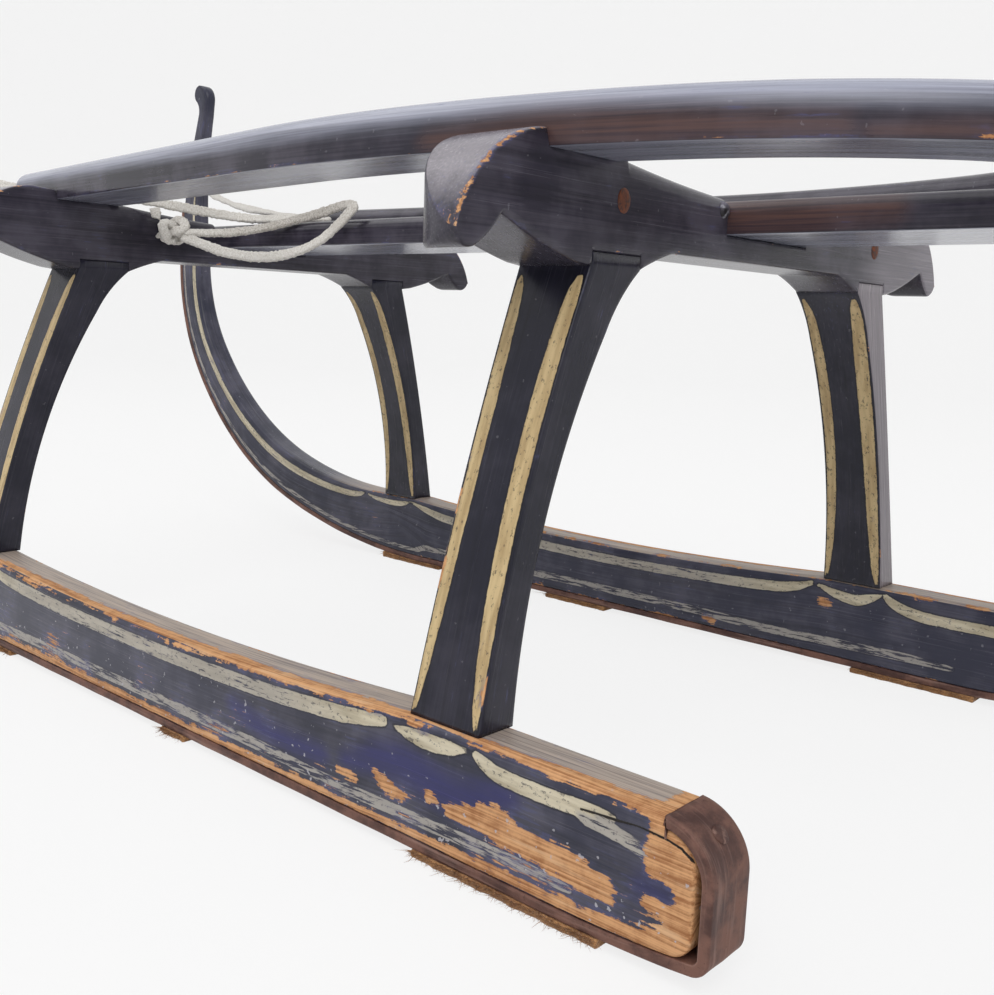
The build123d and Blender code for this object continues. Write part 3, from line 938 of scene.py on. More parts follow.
@dataclass(frozen=True)
class IronFinish:
    """Rusty strap iron, brown with paler streaks and darker pits."""

    name: str = "rusty_iron"
    rust: Colour = colour(128, 92, 80)
    deep: Colour = colour(74, 46, 40)
    pale: Colour = colour(160, 128, 116)
    pit: Colour = colour(58, 36, 32)

    def build(self) -> Material:
        """Material with mottled rust, pits and a rough, half-metallic surface."""
        material, g, shader = plain_material(self.name)
        place = g.place()
        cloud = g.noise(place, 60.0, 5.0, 0.65)
        grit = g.noise(place, 700.0, 3.0, 0.7)
        streak = g.streaks(g.layer("grain", "Vector"), 20.0, 320.0, 3.0, 0.6)
        tone = g.mix(g.ramp(cloud, 0.36, 0.62), self.deep, self.rust)
        tone = g.mix(g.times(g.ramp(streak, 0.5, 0.7), 0.55), tone, self.pale)
        tone = g.mix(g.ramp(grit, 0.6, 0.72, 0.0, 0.6), tone, self.pit)
        g.fill(shader, {"Base Color": tone, "Metallic": 0.25,
                        "Roughness": g.ramp(cloud, 0.3, 0.7, 0.5, 0.75)})
        g.bump(shader, g.plus(g.times(grit, 0.6), cloud), 0.6, 0.0004)
        return material


@dataclass(frozen=True)
class FeltFinish:
    """Brown felt with a dusty nap."""

    name: str = "brown_felt"
    body: Colour = colour(134, 86, 50)
    nap: Colour = colour(208, 158, 106)

    def build(self) -> Material:
        """Material with mottled fibres and a soft sheen."""
        material, g, shader = plain_material(self.name)
        place = g.place()
        fuzz = g.noise(place, 900.0, 4.0, 0.7)
        cloud = g.noise(place, 120.0, 3.0, 0.6)
        dust = g.ramp(g.weighed(fuzz, 0.6, cloud, 0.4), 0.35, 0.65)
        g.fill(shader, {"Base Color": g.mix(dust, self.body, self.nap), "Sheen Weight": 0.3,
                        "Roughness": g.ramp(fuzz, 0.3, 0.7, 0.85, 1.0)})
        g.bump(shader, fuzz, 0.8, 0.0006)
        return material


@dataclass(frozen=True)
class SuedeFinish:
    """Off-white suede lace, grey-brown where it is handled."""

    name: str = "pale_suede"
    pale: Colour = colour(240, 237, 232)
    shade: Colour = colour(198, 192, 182)
    soiled: Colour = colour(112, 100, 88)

    def build(self) -> Material:
        """Material with a short nap, mottled by wear."""
        material, g, shader = plain_material(self.name)
        place = g.place()
        nap = g.noise(place, 1100.0, 4.0, 0.7)
        cloud = g.noise(place, 70.0, 4.0, 0.65)
        soil = g.times(g.layer("soil"), 1 / MM, True)
        tone = g.mix(g.ramp(nap, 0.32, 0.68), self.shade, self.pale)
        tone = g.mix(g.times(g.ramp(cloud, 0.5, 0.68), 0.35), tone, self.shade)
        tone = g.mix(g.times(soil, g.ramp(nap, 0.34, 0.56, 0.9, 0.35)), tone, self.soiled)
        g.fill(shader, {"Base Color": tone, "Sheen Weight": 0.35,
                        "Roughness": g.ramp(nap, 0.3, 0.7, 0.8, 1.0)})
        g.bump(shader, g.plus(nap, g.times(cloud, 0.6)), 0.7, 0.0005)
        return material


@dataclass(frozen=True)
class PegFinish:
    """End grain of the wooden pegs, stained brown."""

    name: str = "peg_wood"
    light: Colour = colour(122, 66, 40)
    dark: Colour = colour(44, 24, 18)

    def build(self) -> Material:
        """Material with mottled end grain and a rough surface."""
        material, g, shader = plain_material(self.name)
        cloud = g.noise(g.place(), 500.0, 4.0, 0.7)
        g.fill(shader, {"Base Color": g.mix(g.ramp(cloud, 0.36, 0.62), self.dark, self.light),
                        "Roughness": g.ramp(cloud, 0.3, 0.7, 0.5, 0.8)})
        return material


# Members


@dataclass
class Runner:
    """Sawn runner with a heel let into the iron, a dipped top and a swept horn."""

    bottom: float = 8.0
    depth: float = 50.5
    thickness: float = 24.0
    middle_y: float = 187.0
    rear_x: float = -402.4
    heel_corner: float = 12.0
    heel_toe: float = 8.0
    heel_rise: Pair = (500.0, 6.2)
    tongue: float = 12.4
    iron: float = 4.5
    dip: float = 7.0
    dip_span: Pair = (-265.5, 117.5)
    sole_end: float = 107.1
    sweep_start: float = 170.1
    front_bends: Bends = ((600.0, 18.0), (310.0, 37.0), (195.0, 35.0))
    inner_bends: Bends = ((400.0, 18.0), (265.0, 37.0), (150.0, 35.0))
    horn_bends: Bends = ((420.0, 8.0), (300.0, 10.0))
    horn_straight: float = 40.0
    neck_back: Pair = (-12.6, -2.0)
    back_bow: Pair = (2.0, 0.42)
    throat: Pair = (0.3, 8.0)
    bill: Pair = (5.5, 14.5)
    brow: Pair = (6.5, 24.5)
    crown: Pair = (-1.5, 29.0)
    nape: Pair = (-15.5, 14.0)
    curl_hump: Pair = (-11.5, 25.0)
    taper: Pair = (68.5, 428.5)
    tip_thickness: float = 12.0
    arris: float = 1.6
    level_end: float = 100.0

    @property
    def top(self) -> float:
        """Height of the top at the posts."""
        return self.bottom + self.depth

    def half(self, z: Array) -> Array:
        """Half thickness at a height: even up to the taper, then straight down to the tip's."""
        return np.interp(z, self.taper, (self.thickness / 2, self.tip_thickness / 2))

    def sole_z(self, x: Array) -> Array:
        """Underside of the wood: flat, then up on an arc at the heel, with a rounded corner."""
        radius, degrees = self.heel_rise
        start = self.rear_x + radius * math.sin(math.radians(degrees)) + 0.1
        back = np.maximum(start - x, 0)
        past = np.clip(self.rear_x + self.heel_toe - x, 0, self.heel_toe)
        toe = self.heel_toe - half_chord(self.heel_toe, past)
        return self.bottom + radius - half_chord(radius, back) + toe

    def top_z(self, x: Array) -> Array:
        """Top of the wood: flat at the posts, dipped between them, rounded down at the heel."""
        first, last = self.dip_span
        share = np.clip((x - (first + last) / 2) / ((last - first) / 2), -1, 1)
        level = self.top - self.dip * (1 - share**2)
        past = np.maximum(self.rear_x + self.heel_corner - x, 0)
        rounded = self.heel_corner - half_chord(self.heel_corner, past)
        return np.where(x < self.rear_x + self.tongue, self.top - self.iron - rounded, level)

    def front_chain(self) -> Array:
        """Front of the horn from upright to its neck, as a polyline."""
        total = sum(degrees for _, degrees in self.front_bends)
        ends = total + sum(degrees for _, degrees in self.horn_bends)
        headings = np.linspace(total, ends, 60)
        chain = bent((self.sole_end, self.bottom), self.front_bends + self.horn_bends, headings)
        lean = np.radians(ends)
        neck = chain[-1] + self.horn_straight * np.array([math.cos(lean), math.sin(lean)])
        return np.concatenate([chain, neck[None]])

    def stations(self) -> tuple[Array, Array, Array]:
        """Matched points of the sole's and the top's chains.

        On the level part both have the same X. On the sweep they have the same heading. On the horn
        and its curl they have the same share of their chains' lengths.

        Returns:
            Lower points (n, 2), upper points (n, 2) and the place along (n,).
        """
        corner = self.rear_x + self.heel_corner * (1 - np.cos(np.linspace(0, math.pi / 2, 20)))
        step = self.rear_x + self.tongue
        ahead = np.arange(step + 2, self.level_end, 2.5)
        level = np.concatenate([corner, [step - 0.05, step + 0.05], ahead])
        low = [np.stack([level, self.sole_z(level)], axis=1)]
        high = [np.stack([level, self.top_z(level)], axis=1)]
        share = np.linspace(0, 1, 30)[1:]
        low_x = level[-1] + share * (self.sole_end - level[-1])
        high_x = level[-1] + share * (self.sweep_start - level[-1])
        low.append(np.stack([low_x, np.full_like(low_x, self.bottom)], axis=1))
        high.append(np.stack([high_x, self.top_z(high_x)], axis=1))
        headings = np.linspace(0, 90, 170)[1:]
        low.append(bent((self.sole_end, self.bottom), self.front_bends, headings))
        high.append(bent((self.sweep_start, self.top), self.inner_bends, headings))
        front = self.front_chain()
        neck = front[-1]
        base = high[-1][-1]
        nape = neck + np.array(self.neck_back)
        back = base + np.array([self.back_bow[0], self.back_bow[1] * (neck[1] - base[1])])
        share = np.linspace(0, 1, 62)[1:]
        low.append(evenly(front, share))
        high.append(evenly(arc_through(base, back, nape), share))
        share = np.linspace(0, 0.985, 30)[1:]
        low.append(evenly(self.curl_front(neck), share))
        high.append(evenly(self.curl_back(neck, nape), share))
        lower = np.concatenate(low)
        upper = np.concatenate(high)
        middle = (lower + upper) / 2
        along = self.rear_x + travelled(middle)
        count = len(level)
        along += self.level_end - np.interp(self.level_end, middle[:count, 0], along[:count])
        along[:count] = level
        return lower, upper, along

    def curl_front(self, neck: Array) -> Array:
        """Front of the curl: throat, bill, brow and crown."""
        bill = neck + self.bill
        return np.concatenate([arc_through(neck, neck + self.throat, bill),
                               arc_through(bill, neck + self.brow, neck + self.crown)[1:]])

    def curl_back(self, neck: Array, neck_back: Array) -> Array:
        """Back of the curl: nape, hump and crown."""
        upper = arc_through(neck + self.nape, neck + self.curl_hump, neck + self.crown)
        return np.concatenate([neck_back[None], upper])

    def loft(self) -> Loft:
        """Left runner's wood.

        A section stands on the line from a lower point to its upper point. Its widths go to Y.

        Returns:
            The loft with its stripes and worn patches.
        """
        lower, upper, along = self.stations()
        rise = upper - lower
        height = np.linalg.norm(rise, axis=1)
        lean = rise / height[:, None]
        drawn = np.maximum(self.rear_x + self.arris - along, 0)
        half = self.half((lower[:, 1] + upper[:, 1]) / 2) - self.arris + half_chord(self.arris, drawn)
        ease = np.interp(along, (-340, -300, 160, 400, 700), (4.0, 3.6, 3.6, 4.0, 4.5))
        width, level, face = rounded_sections(half, 0.0, height, ease, self.arris, Facets(24, 6, 4))
        flat = lower[:, None, :] + lean[:, None, :] * level[..., None]
        place = np.stack([flat[..., 0], self.middle_y + width, flat[..., 1]], axis=-1)
        loft = loft_of(along, width, level, face, half, 0.0, height, place)
        straight = np.where(loft.along < self.dip_span[0], self.top - place[..., 2], loft.below)
        loft.grain = np.stack([loft.along, straight, loft.across], axis=-1)
        self.paint(loft)
        return loft

    def paint(self, loft: Loft) -> None:
        """Stripes and worn patches on both broad faces of a runner."""
        outer = loft.on(Face.OUTER)
        inner = loft.on(Face.INNER)
        top = loft.on(Face.TOP)
        fade = np.zeros(loft.along.shape)
        rubbed = np.interp(loft.along, (-240, -180, 60, 110), (0.0, 0.6, 0.55, 0.0))
        for where, strokes in ((outer, OUTER_STRIPES), (inner, INNER_STRIPES)):
            for stroke in strokes:
                depth = stroke.depth(loft.along, loft.below)
                loft.add("stripe", depth, where)
                fade = np.where(where & (depth > -FADE_REACH), np.maximum(stroke.fade, rubbed), fade)
            low = LOWER_STRIPE.depth(loft.along, loft.above)
            loft.add("stripe", low, where)
            fade = np.where(where & (low > -FADE_REACH), LOWER_FADE, fade)
        loft.layers["fade"] = fade
        loft.brush("bare", OUTER_BARE, loft.along, loft.above, outer)
        loft.brush("bare", INNER_BARE, loft.along, loft.above, inner)
        for stroke in KEPT_PAINT:
            loft.cut("bare", stroke.depth(loft.along, loft.above), outer)
        loft.add("bare", HEEL_BARE_X - loft.along, ~outer & ~inner)
        loft.brush("tint", INDIGO, loft.along, loft.above, outer)
        # Painted highlight: the whole top face is painted pale grey-tan, rubbed paint lightened as if lit
        # from above.
        loft.add("rub_and_highlight", np.interp(loft.along, (-384, -330, 150, 260), (6.0, 8.0, 8.0, -12.0)), top)
        band = np.interp(loft.along, (-390, -330, -290, -230, -120, 60, 110, 130),
                         (3.0, 1.0, 0.0, 2.6, 3.6, 2.6, 0, -9))
        loft.add("bare", band - BAND_INSET + loft.across, top)
        flecks = np.interp(loft.above, (0, 8, 26, 40), (1.0, 1.0, 0.75, 0.2))
        loft.layers["fleck"] = np.where(outer, flecks, 0.3)
        kept = np.interp(loft.along, (130, 200), (0.0, 5.0))
        loft.top_edge = loft.top_edge + kept + np.where(inner, 2.5, 0.0)
        loft.low_edge = loft.low_edge + kept + np.where(inner, 2.0, 0.0)
        places, heights = np.array(CRACK).T
        inside = outer & (loft.along > places[0]) & (loft.along < places[-1])
        offset = loft.points[..., 2] - np.interp(loft.along, places, heights)
        loft.layers["crack"] = np.where(inside, offset, np.copysign(FAR, offset))


BAND_INSET = 7.0
FADE_REACH = 1.5
LOWER_FADE = 0.85
HEEL_BARE_X = -384.0
OUTER_STRIPES = (
    Stroke(((-254, 4.8, 2.4), (-230, 7.0, 3.6), (-200, 7.8, 3.8), (-163, 8.2, 3.8), (-60, 8.4, 3.8),
            (40, 8.6, 3.7), (84, 8.0, 3.4), (102, 6.2, 2.6), (114, 4.2, 0.9))),
    Stroke(((116, 4.6, 0.8), (125, 8.0, 2.6), (136, 9.4, 3.3), (147, 8.0, 2.6), (156, 4.6, 0.8))),
    Stroke(((-261, 6.0, 0.8), (-270, 6.8, 2.8), (-281, 7.0, 3.5), (-292, 6.2, 2.8), (-301, 4.4, 0.8))),
    Stroke(((-305, 4.6, 1.6), (-311, 7.4, 3.0), (-320, 9.4, 3.3), (-342, 9.8, 3.3), (-358, 9.0, 3.0),
            (-369, 8.2, 1.6))),
    Stroke(((-357, 13.0, 1.6), (-372, 13.4, 2.6), (-383, 16.0, 2.6), (-388, 20.0, 2.0)), 0.75),
    Stroke(((159, 4.2, 1.0), (176, 8.6, 3.0), (205, 10.4, 3.6), (280, 10.6, 3.6), (400, 9.6, 3.4),
            (520, 8.0, 3.0), (610, 6.6, 2.4), (660, 5.0, 1.0))),
)
INNER_STRIPES = (
    Stroke(((-258, 4.4, 1.4), (-246, 8.0, 3.0), (-225, 10.0, 3.4), (-160, 10.4, 3.4), (-20, 10.4, 3.4),
            (70, 10.0, 3.4), (98, 7.6, 2.8), (113, 4.2, 0.9))),
    Stroke(((115, 4.6, 0.8), (124, 8.6, 2.6), (136, 10.6, 3.3), (148, 8.6, 2.6), (157, 4.6, 0.8))),
    Stroke(((-262, 5.0, 0.8), (-274, 8.6, 2.6), (-288, 10.6, 3.4), (-298, 7.6, 2.6), (-305, 4.4, 0.8))),
    Stroke(((-307, 4.2, 1.4), (-312, 7.6, 2.8), (-321, 11.0, 3.2), (-336, 13.0, 3.3), (-374, 13.0, 3.3),
            (-392, 12.0, 2.6))),
    Stroke(((159, 4.2, 1.0), (176, 9.0, 3.0), (205, 11.0, 3.6), (280, 11.0, 3.6), (400, 10.0, 3.4),
            (520, 8.4, 3.0), (610, 6.6, 2.4), (660, 5.0, 1.0))),
)
LOWER_STRIPE = Stroke((
    (-352, 9.6, 1.6), (-330, 10.2, 2.6), (-288, 9.6, 2.7), (-221, 8.4, 2.7), (-163, 9.6, 2.7),
    (-40, 9.6, 2.7), (100, 9.0, 2.4), (240, 6.4, 2.0), (420, 5.4, 1.7), (600, 4.6, 1.2)))
OUTER_BARE = (
    Stroke(((-294, 19.0, 3.6), (-306, 21.0, 5.4), (-318, 22.0, 7.2), (-330, 19.0, 6.0), (-348, 18.0, 6.6),
            (-366, 14.6, 6.0))),
    Stroke(((-394, 2.0, 11.0), (-395, 22.0, 12.0), (-396, 46.0, 12.0))),
    Stroke(((120, 0.0, 1.6), (60, 0.0, 4.4), (-60, 0.0, 4.7), (-150, 0.0, 4.5), (-230, 0.0, 4.3),
            (-294, 0.4, 4.4), (-340, 1.0, 4.6), (-372, 1.4, 5.0), (-396, 2.0, 6.0))),
    Stroke(((-227, 15.4, 1.8), (-237, 15.0, 2.4))),
    Stroke(((-251, 20.4, 2.4), (-258, 18.4, 3.6), (-266, 16.4, 2.4))),
    Stroke(((-281, 21.2, 2.4), (-285, 20.8, 2.0))),
    Stroke(((-300, 50.4, 1.4), (-330, 50.6, 2.2), (-372, 50.4, 2.6), (-400, 46.0, 3.0))),
    Stroke(((-262, 50.2, 1.6), (-230, 48.4, 1.8), (-190, 45.6, 1.4), (-120, 43.6, 1.2))),
)
INNER_BARE = (
    Stroke(((-265, 34.6, 1.8), (-270, 34.4, 2.4))),
    Stroke(((-394, 2.0, 5.0), (-396, 22.0, 6.0), (-396, 46.0, 6.0))),
    Stroke(((-180, 5.0, 1.6), (-186, 4.6, 2.0))),
)
KEPT_PAINT = (
    Stroke(((-382, 22.6, 2.6), (-392, 21.6, 2.8))),
    Stroke(((-290, 9.6, 3.2), (-324, 9.6, 3.6), (-348, 9.0, 3.0), (-366, 8.6, 2.4), (-384, 10.0, 2.2),
            (-390, 11.0, 1.2))),
)
INDIGO = (
    Stroke(((-232, 22.0, 4.0), (-262, 30.0, 8.0), (-296, 26.0, 8.0), (-322, 34.0, 5.0))),
    Stroke(((-382, 22.0, 4.0), (-392, 21.0, 4.0))),
    Stroke(((-150, 24.0, 4.0), (-180, 18.0, 5.0), (-214, 18.0, 5.0))),
)
CRACK = ((-401.5, 46.0), (-397.0, 49.2), (-390.0, 50.6), (-380.0, 51.0), (-368.0, 50.2), (-354.0, 49.0))


@dataclass
class Iron:
    """Strap iron: tongue on the heel, sole, front sweep and the horn's lower part."""

    runner: Runner
    thickness: float = 4.5
    rear_x: float = -405.0
    tongue_x: float = -390.0
    corner: float = 16.5
    toe: float = 3.0
    end_bend: float = 8.0
    gap: float = 0.05

    def path(self) -> tuple[Array, Array]:
        """Inner face of the strap from the tongue to the horn, with its outward normals.

        Returns:
            Points (n, 2) and unit normals (n, 2), away from the wood.
        """
        wood = self.runner
        radius, degrees = wood.heel_rise
        top = wood.top - wood.iron
        lift = math.radians(degrees)
        centre = np.array([self.rear_x + self.corner, top - self.corner])
        heel = centre + self.corner * round_points(np.radians(np.linspace(90, 180, 26)))
        drop = self.toe * math.cos(lift) + radius * (1 - math.cos(lift))
        toe_centre = np.array([self.rear_x + self.toe, wood.bottom + drop])
        toe = toe_centre + self.toe * round_points(np.radians(np.linspace(180, 270 - degrees, 10)))
        lean = np.radians(np.linspace(-degrees, 0, 14))
        heel_end = self.rear_x + self.toe * (1 - math.sin(lift)) + radius * math.sin(lift)
        arc = radius * np.stack([np.sin(lean), -np.cos(lean)], axis=1)
        rise = np.array([heel_end, wood.bottom + radius]) + arc
        flat = np.linspace(heel_end + 2.5, wood.sole_end - 2.5, 180)
        sole = np.stack([flat, np.full_like(flat, wood.bottom)], axis=1)
        total = sum(turn for _, turn in wood.front_bends) + self.end_bend
        bends = wood.front_bends + wood.horn_bends[:1]
        sweep = bent((wood.sole_end, wood.bottom), bends, np.linspace(0, total, 170))
        start = np.array([[self.tongue_x, top], [self.tongue_x - 1.0, top]])
        points = np.concatenate([start, heel, toe, rise[1:], sole, sweep])
        apart = np.concatenate([[True], np.linalg.norm(np.diff(points, axis=0), axis=1) > 0.05])
        points = points[apart]
        heading = unit(np.gradient(points, axis=0))
        return points, np.stack([heading[:, 1], -heading[:, 0]], axis=1)

    def loft(self) -> Loft:
        """Left strap: a flat section carried along the path, its widths to Y."""
        points, normal = self.path()
        along = travelled(points)
        half = self.runner.half(points[:, 1]) - self.gap
        width, level, face = rounded_sections(half, self.gap, self.thickness, 0.9, 0.5, Facets(4, 10, 3))
        flat = points[:, None, :] + normal[:, None, :] * level[..., None]
        ripple = 0.18 * np.sin(along[:, None] / 17 + width / 5) * (level > 2)
        flat = flat - normal[:, None, :] * np.abs(ripple)[..., None]
        place = np.stack([flat[..., 0], self.runner.middle_y + width, flat[..., 1]], axis=-1)
        return loft_of(along, width, level, face, half, 0.0, self.thickness, place)


@dataclass
class Post:
    """Curved post: a bracket in Y and Z, waisted in X, housed in the beam at its top."""

    foot_x: float
    top_x: float
    foot_z: float = 58.5
    top_z: float = 243.5
    width: float = 38.0
    waist: float = 1.5
    foot: Pair = (175.0, 195.5)
    head: Pair = (105.5, 139.5)
    housing: float = 5.5
    outer_bow: float = 4.0
    inner_bow: float = 8.5
    flare: Point = (26.0, 20.5, 1.8)
    front_stripe: Pair = (0.82, 0.76)
    arris: float = 1.1

    def loft(self) -> Loft:
        """Left post: sections at heights, with widths to X and heights to Y."""
        shoulder = self.top_z - self.housing
        stations = np.concatenate([np.linspace(self.foot_z, shoulder, 92), [shoulder + 0.5, self.top_z]])
        low = self.inner(stations, shoulder)
        high = self.outer(stations, shoulder)
        share = (stations - self.foot_z) / (self.top_z - self.foot_z)
        middle = self.foot_x + share * (self.top_x - self.foot_x)
        half = self.width / 2 - self.waist * 4 * share * (1 - share)
        width, level, face = rounded_sections(half, low, high, self.arris, self.arris, Facets(12, 18, 3))
        place = np.stack([middle[:, None] + width, level, over_ring(stations, width)], axis=-1)
        loft = loft_of(stations, width, level, face, half, low, high, place)
        self.paint(loft, half)
        return loft

    def outer(self, z: Array, shoulder: float) -> Array:
        """Outer side in Y at heights: a shallow arc from foot to shoulder, then upright."""
        arc = bowed((self.foot[1], self.foot_z), (self.head[1], shoulder), self.outer_bow)
        return np.interp(z, arc[:, 1], arc[:, 0])

    def inner(self, z: Array, shoulder: float) -> Array:
        """Inner side in Y at heights: an arc up to the flare, the flare, then upright."""
        drop, reach, bow = self.flare
        knee = (self.head[0] + reach, shoulder - drop)
        lower = bowed((self.foot[0], self.foot_z), knee, self.inner_bow)
        upper = bowed(knee, (self.head[0], shoulder), bow)
        arc = np.concatenate([lower, upper[1:]])
        return np.interp(z, arc[:, 1], arc[:, 0])

    def paint(self, loft: Loft, half: Array) -> None:
        """Two stripes on each broad face, pointed at both ends, the front one narrower."""
        top = self.top_z - self.housing
        rows = ((self.foot_z + 2, 2.2, 0.9), (self.foot_z + 12, 3.4, 2.2), (self.foot_z + 44, 4.8, 3.5),
                ((self.foot_z + top) / 2, 5.6, 4.0), (top - 44, 5.6, 4.1), (top - 14, 4.8, 3.4),
                (top - 5, 3.8, 1.8))
        nearer, thinner = self.front_stripe
        narrow = tuple((place, depth * nearer, breadth * thinner) for place, depth, breadth in rows)
        inside = half[:, None] - np.abs(loft.across)
        broad = loft.on(Face.TOP, Face.BOTTOM)
        loft.add("stripe", Stroke(rows).depth(loft.along, inside), broad & (loft.across < 0))
        loft.add("stripe", Stroke(narrow).depth(loft.along, inside), broad & (loft.across > 0))
        loft.brush("bare", POST_CHIPS, loft.along, loft.across, loft.on(Face.TOP))


POST_CHIPS = (
    Stroke(((110, 17.6, 1.2), (118, 17.4, 1.6), (124, 17.8, 0.8))),
    Stroke(((140, 16.6, 0.8), (147, 16.8, 1.1))),
    Stroke(((72, -17.4, 1.0), (80, -17.8, 1.4))),
)


def bowed(first: Pair, last: Pair, sag: float) -> Array:
    """Arc between two points of a Y-Z drawing whose middle stands off the chord towards higher Y.

    Args:
        first: Lower point.
        last: Upper point.
        sag: How far the middle stands off, away from the sled's middle.

    Returns:
        Points (n, 2).
    """
    start, end = np.array(first), np.array(last)
    chord = (end - start) / np.linalg.norm(end - start)
    normal = np.array([chord[1], -chord[0]])
    return arc_through(start, (start + end) / 2 + normal * sag, end, 60)


def rounded_end(end: float, radius: float) -> Array:
    """Places up to a member's end, closer towards it, for a plan that is rounded there."""
    row = end - radius * (1 - np.sin(np.linspace(0, math.pi / 2, 14)))
    return np.concatenate([row[:-1] - 0.02, row[-1:]])


@dataclass
class Rail:
    """Bowed seat rail: flat underneath, rounded at both top edges, joined to its twin at the nose."""

    width: float = 43.0
    thickness: float = 21.0
    edge_round: float = 12.0
    bottom: float = 279.3
    nose_x: float = -469.0
    nose: Pair = (117.54, 50.0)
    side_bends: Bends = ((240.5, 23.0), (538.5, 23.0))
    front_x: float = 181.3
    end_round: float = 16.0
    edge_kept: float = 6.0
    highlight_band: Pair = (0.6, 14.0)

    def centre_line(self) -> tuple[Array, Array]:
        """Left rail's centre line in plan, from the nose to the front end, and its outward normals.

        The bends turn right from a start that heads to +Y. They are worked out as left turns from a
        start that heads to +X, and turned: X is the nose plus the rise, and Y is the run.

        Returns:
            Points (n, 2) and unit normals (n, 2).
        """
        bends = (self.nose,) + self.side_bends
        total = sum(degrees for _, degrees in bends)
        parts = []
        corner = (0.0, 0.0)
        turned = 0.0
        for _, degrees in bends:
            headings = np.linspace(turned, turned + degrees, max(4, int(degrees * 2.6)))
            parts.append(bent(corner, bends, headings))
            turned += degrees
        run = np.concatenate([parts[0]] + [part[1:] for part in parts[1:]])
        path = np.stack([self.nose_x + run[:, 1], run[:, 0]], axis=1)
        lean = np.radians(90 - total)
        length = (self.front_x - path[-1, 0]) / math.cos(lean)
        share = np.linspace(0, length, max(3, int(length / 3)))[1:, None]
        path = np.concatenate([path, path[-1] + share * np.array([math.cos(lean), math.sin(lean)])])
        heading = unit(np.gradient(path, axis=0))
        return path, np.stack([-heading[:, 1], heading[:, 0]], axis=1)

    def loft(self) -> Loft:
        """Left rail with its ends rounded in plan at the front."""
        path, outward = self.centre_line()
        reached = travelled(path)
        near_end = rounded_end(reached[-1], self.end_round)
        along = np.concatenate([reached[reached < reached[-1] - self.end_round - 1], near_end])
        centre = sampled(path, reached, along)
        normal = sampled(outward, reached, along)
        past = np.maximum(self.end_round - (reached[-1] - along), 0)
        half = self.width / 2 - self.end_round + half_chord(self.end_round, past)
        low, high = self.bottom, self.bottom + self.thickness
        width, level, face = rounded_sections(half, low, high, self.edge_round, 1.0, Facets(7, 16, 7))
        flat = centre[:, None, :] + normal[:, None, :] * width[..., None]
        place = np.concatenate([flat, level[..., None]], axis=-1)
        loft = loft_of(along, width, level, face, half, low, high, place)
        loft.top_edge = loft.top_edge + self.edge_kept
        for layer, strokes in (("rub_and_highlight", RAIL_WEAR), ("bare", RAIL_CHIPS)):
            loft.brush(layer, strokes, loft.points[..., 0], loft.above, loft.on(Face.OUTER))
        # Painted highlight: a pale band along the rail's upper outer edge, on the outer face and the outer
        # part of the top.
        share, reach = self.highlight_band
        highlight_depth = np.minimum(loft.above - self.thickness * share, loft.across - self.width / 2 + reach)
        loft.add("tint", highlight_depth, loft.on(Face.OUTER, Face.TOP))
        # Painted reflection of the bright floor: the underside is painted pale.
        loft.add("tint", 0.0, loft.on(Face.BOTTOM))
        return loft


RAIL_WEAR = (
    Stroke(((-400, 5.0, 1.0), (-350, 6.0, 4.0), (-300, 7.0, 5.0), (-250, 5.0, 2.0))),
    Stroke(((-470, 2.0, 0.0), (-440, 3.0, 1.5), (-410, 2.0, 0.0))),
)
RAIL_CHIPS = (
    Stroke(((-376, 0.2, -1.2), (-362, 0.3, 0.2), (-350, 0.2, -1.2))),
    Stroke(((-400, 0.2, -1.4), (-392, 0.3, -0.1), (-384, 0.2, -1.4))),
    Stroke(((-446, 1.2, -1.0), (-440, 2.0, 0.6), (-434, 1.2, -1.0))),
    Stroke(((-240, 0.1, -1.2), (-170, 0.2, -0.8), (-60, 0.2, -0.7), (60, 0.1, -1.0))),
)


